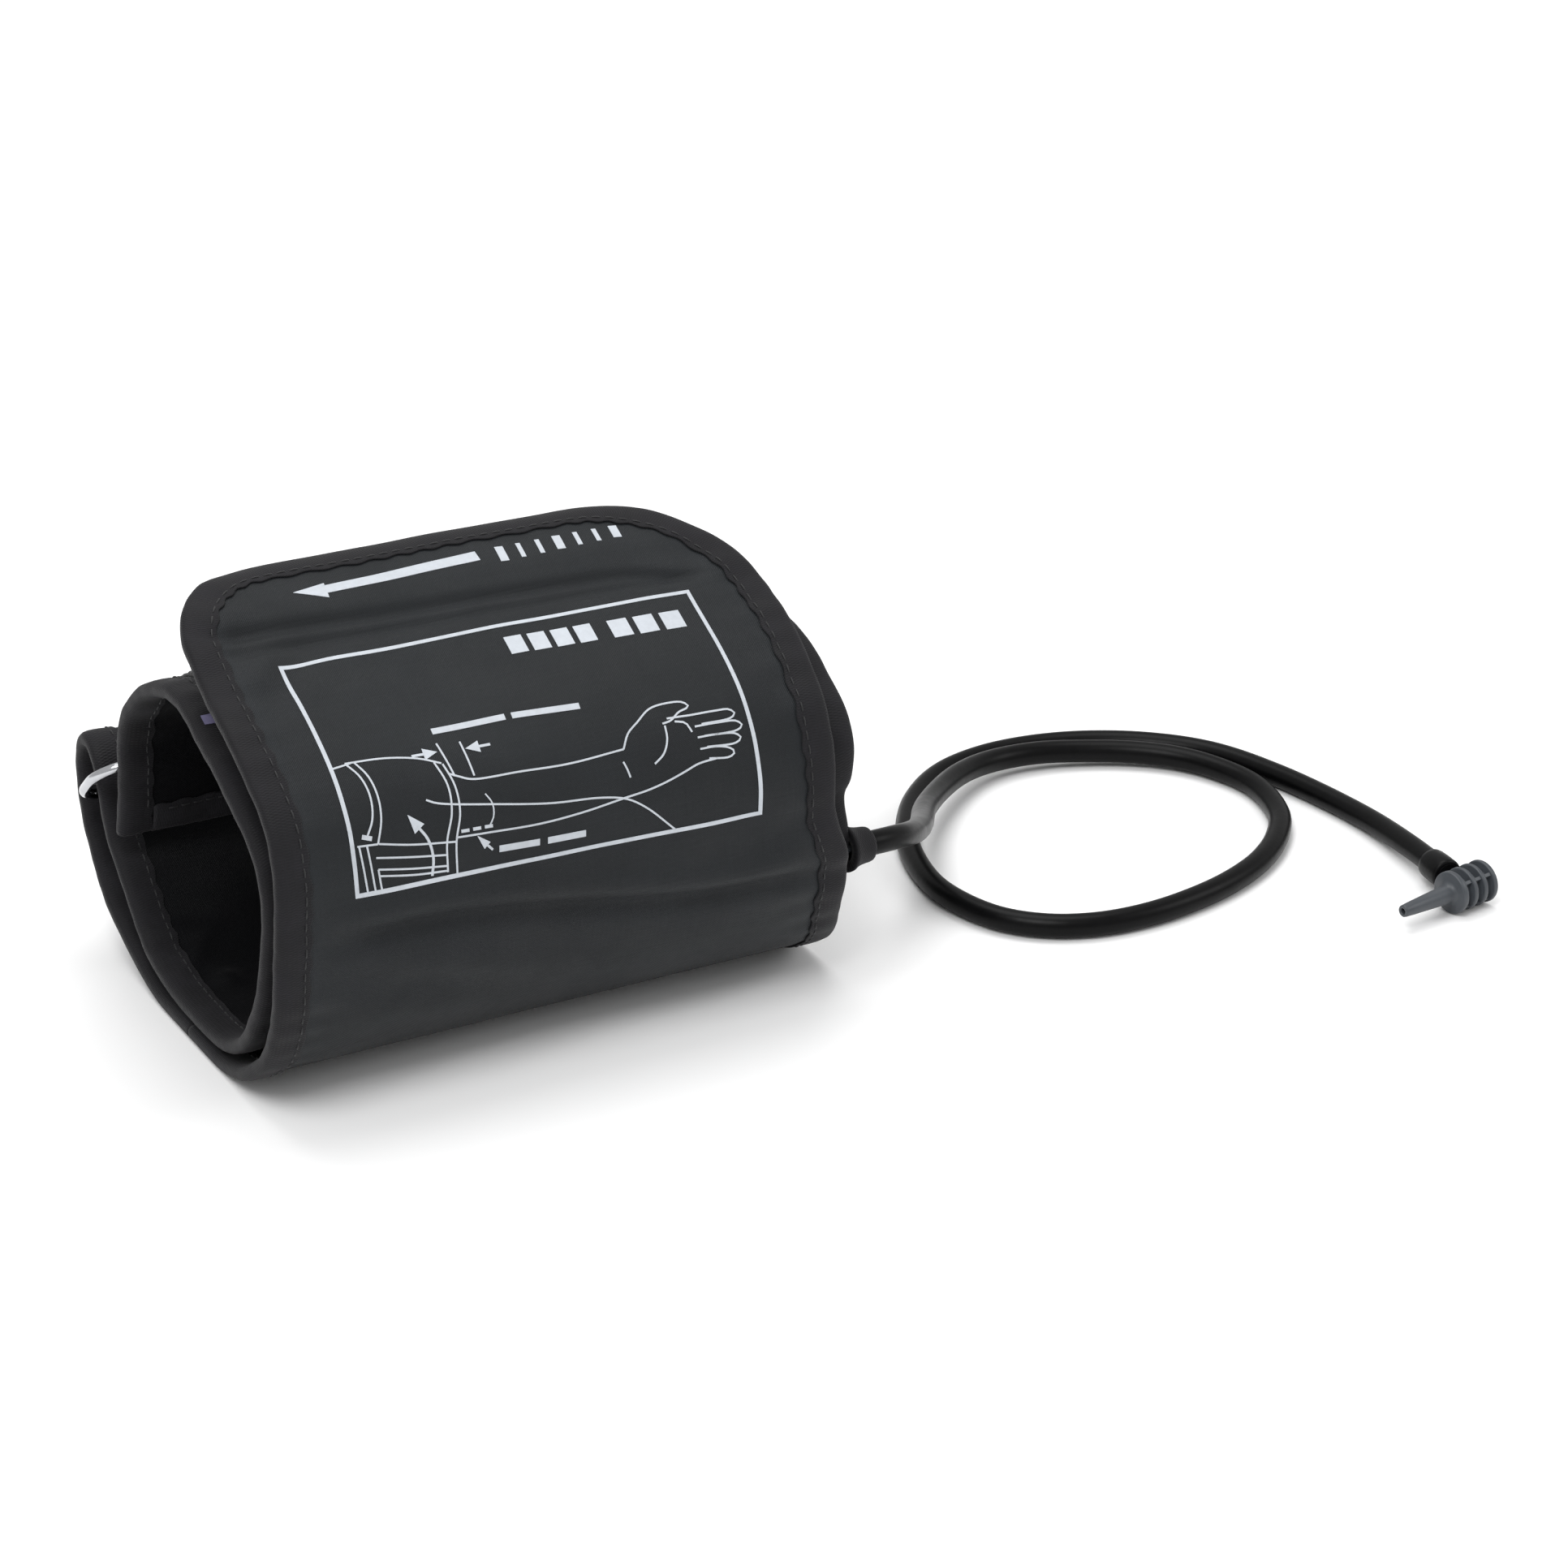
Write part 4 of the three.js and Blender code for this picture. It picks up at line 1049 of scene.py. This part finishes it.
# ---------------- print on the flap
# Drawn points are x across the strip and s along it, in millimetres
INK_OFF = (-1.31, -1.44)
TAG_OFF = (1.9, 2.12)
FINE_LINE = 0.42
FRAME_LINE = 0.95
BAR_LINE = 1.5
FRAME_CORNERS = [(-55.0, 541.2), (44.6, 539.0), (44.2, 481.4), (-55.2, 484.0)]
# Seven plain blocks in place of a heading's letters: middle and width
HEADING = (
    (-1.2, 4.2), (4.4, 4.2), (10.0, 4.2), (15.6, 4.2), (24.2, 4.8), (30.6, 4.8), (37.2, 5.0))
# Plain bars in place of the notes' words
NOTE_BARS = (
    ((-29.4, 515.9), (-12.0, 515.4)), ((-10.4, 515.3), (5.8, 514.1)),
    ((-20.8, 487.2), (-11.0, 486.7)), ((-9.0, 486.6), (0.4, 486.2)))
# Two ticks that mark the gap above the elbow
TICKS = ([(-29.6, 512.8), (-28.2, 504.6)], [(-24.3, 512.0), (-23.8, 503.8)])
# The cuff round the upper arm, with the two bands of its hanging end
CUFF_LINES = (
    [(-54.8, 511.9), (-50.4, 512.3)],
    [(-51.6, 512.5), (-49.4, 508.8), (-48.6, 504.3), (-49.4, 499.6), (-51.4, 496.2)],
    [(-49.6, 512.5), (-47.6, 508.6), (-46.9, 504.0), (-47.4, 499.2), (-49.2, 494.2)],
    [(-51.6, 512.5), (-42.0, 511.8), (-35.0, 510.2), (-30.2, 508.0)],
    [(-31.8, 508.6), (-30.4, 503.0), (-30.9, 497.4), (-33.0, 491.4), (-33.4, 484.6)],
    [(-30.0, 507.8), (-28.8, 502.6), (-29.0, 497.0), (-30.8, 491.0), (-31.2, 483.8)],
    [(-49.0, 494.2), (-41.0, 492.4), (-30.6, 490.9)],
    [(-54.0, 494.6), (-49.2, 494.2)],
    [(-53.6, 494.4), (-52.7, 484.3)],
    [(-51.8, 494.4), (-50.9, 484.3)],
    [(-50.0, 491.4), (-41.0, 489.7), (-33.4, 488.5)],
    [(-49.8, 488.8), (-41.0, 487.1), (-33.3, 486.0)],
    [(-49.6, 487.3), (-41.0, 485.7), (-33.3, 484.9)],
    [(-49.8, 488.8), (-49.4, 484.2)],
)
# The forearm and the palm of the open hand
ARM_LINES = (
    [(-29.4, 505.4), (-27.4, 504.4), (-24.6, 503.2), (-13.0, 502.5), (-1.4, 501.9), (12.4, 502.4)],
    [(12.4, 502.4), (14.4, 505.4), (17.4, 507.4), (21.4, 509.8), (25.6, 510.2), (29.6, 509.6),
     (30.6, 508.4), (27.8, 507.6), (25.4, 506.2), (23.2, 505.9)],
    [(24.6, 506.8), (27.6, 506.6), (30.6, 506.4)],
    [(26.2, 505.8), (28.6, 505.0), (29.6, 502.8)],
    [(34.4, 496.2), (29.5, 495.9), (26.0, 494.9), (21.2, 493.6), (16.5, 492.7), (10.2, 492.1)],
    [(23.6, 505.4), (23.2, 502.4), (21.6, 499.6), (19.0, 497.9)],
    [(11.6, 499.8), (12.2, 498.0), (12.6, 496.2)],
    [(-30.6, 491.8), (-23.5, 491.4), (-10.8, 490.8), (0.2, 491.1), (10.2, 492.1)],
)
# The four fingers: where the top line ends, and the finger tip
FINGERS = (
    (36.8, 506.2, 40.6, 505.4), (36.4, 503.6, 41.6, 502.6),
    (35.6, 501.2, 40.6, 500.0), (34.6, 498.7, 38.4, 497.3))
# The air tube from the cuff past the wrist
TUBE_LINE = [
    (-36.2, 501.0), (-34.0, 499.9), (-20.0, 496.9), (-7.2, 494.6), (5.0, 493.3), (11.0, 491.8),
    (15.6, 488.9), (22.6, 482.2)]
ELBOW_LINE = [(-22.4, 499.6), (-21.2, 497.4), (-21.4, 494.6), (-22.6, 492.8)]
WRAP_LINE = [(-37.2, 484.6), (-36.6, 488.4), (-37.4, 492.8), (-39.4, 496.0)]


def curve_points(points, spacing=0.9):
    """Smooth line through the points, evened out."""
    if len(points) == 2:
        line_points = np.array(points, float)
    else:
        line_points = centripetal(points, 10)
    run = distances(line_points)
    at = np.linspace(0, run[-1], max(2, int(run[-1] / spacing) + 1))
    return np.stack(columns_at(at, run, line_points), 1)


class Ink:
    """Raised lines on the cloth, gathered into one mesh."""

    def __init__(self, offsets):
        self.offsets = offsets
        self.points = []
        self.faces = []

    def stroke(self, points, width):
        """A line through the points; width is one number or a pair for its two ends."""
        path = curve_points(points)
        way = np.gradient(path, axis=0)
        way /= np.maximum(np.linalg.norm(way, axis=1), 1e-9)[:, None]
        aside = np.stack([-way[:, 1], way[:, 0]], 1)
        ends = (width, width) if np.isscalar(width) else width
        half = np.linspace(ends[0], ends[1], len(path))[:, None] / 2
        columns = max(2, int(max(ends) / 0.8) + 2)
        share = np.linspace(-1, 1, columns)
        x = path[:, 0:1] + aside[:, 0:1] * half * share
        s = path[:, 1:2] + aside[:, 1:2] * half * share
        first = len(self.points)
        for off in self.offsets:
            self.points.extend(surface(x, s, off).reshape(-1, 3))
        for quad in slab_faces(len(path), columns):
            self.faces.append(tuple(first + i for i in quad))

    def arrow_head(self, tip, back, width):
        self.stroke([back, tip], (width, 0.05))

    def mesh(self, name):
        return add_mesh(name, self.points, self.faces, smooth=False)


def draw_labels(ink):
    """The print's frame, the arrow along the free edge, and plain marks in place of its words."""
    for a, b in zip(FRAME_CORNERS, FRAME_CORNERS[1:] + FRAME_CORNERS[:1]):
        way = unit(np.subtract(b, a)) * FRAME_LINE / 2
        ink.stroke([np.subtract(a, way), np.add(b, way)], FRAME_LINE)
    ink.stroke([(1.0, 560.4), (-37.0, 559.2)], (2.9, 2.3))
    ink.arrow_head((-44.2, 559.9), (-36.6, 558.9), 4.4)
    for i in range(7):
        low = (6.5 + i * 4.8, 557.3 + 0.15 * i)
        high = (6.9 + i * 4.8, 562.0 + 0.05 * i)
        ink.stroke([low, high], 1.1 if i % 3 else 2.0)
    for x, wide in HEADING:
        tilt = -0.055 * (x + 2)
        ink.stroke([(x - wide / 2, 533.8 + tilt), (x + wide / 2, 533.7 + tilt)], 5.2)
    for bar in NOTE_BARS:
        ink.stroke(bar, BAR_LINE)


def draw_pictogram(ink):
    """An arm in a cuff, with the gap above its elbow and the way the cuff is wrapped."""
    for points in TICKS + CUFF_LINES + ARM_LINES:
        ink.stroke(points, FINE_LINE)
    for x0, s0, x1, s1 in FINGERS:
        ink.stroke([
            (30.6, s0 + 0.2), (x0, s0), (x1 - 0.6, s1 + 0.5), (x1 + 0.5, s1 - 0.6), (x1 - 0.8, s1 - 1.4),
            (32.4, s0 - 2.2)], FINE_LINE)
    ink.stroke(TUBE_LINE, FINE_LINE)
    ink.stroke(ELBOW_LINE, 0.3)
    ink.stroke([(-52.6, 496.4), (-50.4, 495.6)], 1.0)
    # Arrows that close on the two ticks
    ink.stroke([(-36.2, 511.0), (-33.0, 510.9)], 0.6)
    ink.arrow_head((-30.2, 510.8), (-33.4, 510.9), 2.8)
    ink.stroke([(-17.8, 509.8), (-20.8, 509.9)], 0.6)
    ink.arrow_head((-23.6, 510.1), (-20.4, 509.9), 2.8)
    # Wrapping arrow, then the artery's dashes and pointer
    ink.stroke(WRAP_LINE, 0.6)
    ink.arrow_head((-41.2, 498.8), (-39.0, 495.4), 3.0)
    for x in (-29.4, -26.6, -23.8):
        s = 492.9 - 0.03 * (x + 29)
        ink.stroke([(x, s), (x + 1.9, s - 0.1)], 0.7)
    ink.arrow_head((-25.8, 491.2), (-23.6, 488.6), 2.0)
    ink.stroke([(-23.8, 488.9), (-22.4, 487.4)], 0.55)


flap_ink = Ink(INK_OFF)
draw_labels(flap_ink)
draw_pictogram(flap_ink)
ink = flap_ink.mesh("flap_print")
install(ink, INK, "flap")

# Small lilac woven tag caught in the tape's seam, at the left end of the inner roll's top
tag = Ink(TAG_OFF)
tag.stroke([(-71.0, 83.2), (-64.8, 83.2)], 2.6)
mark = tag.mesh("size_mark")
install(mark, MARK, "cuff")
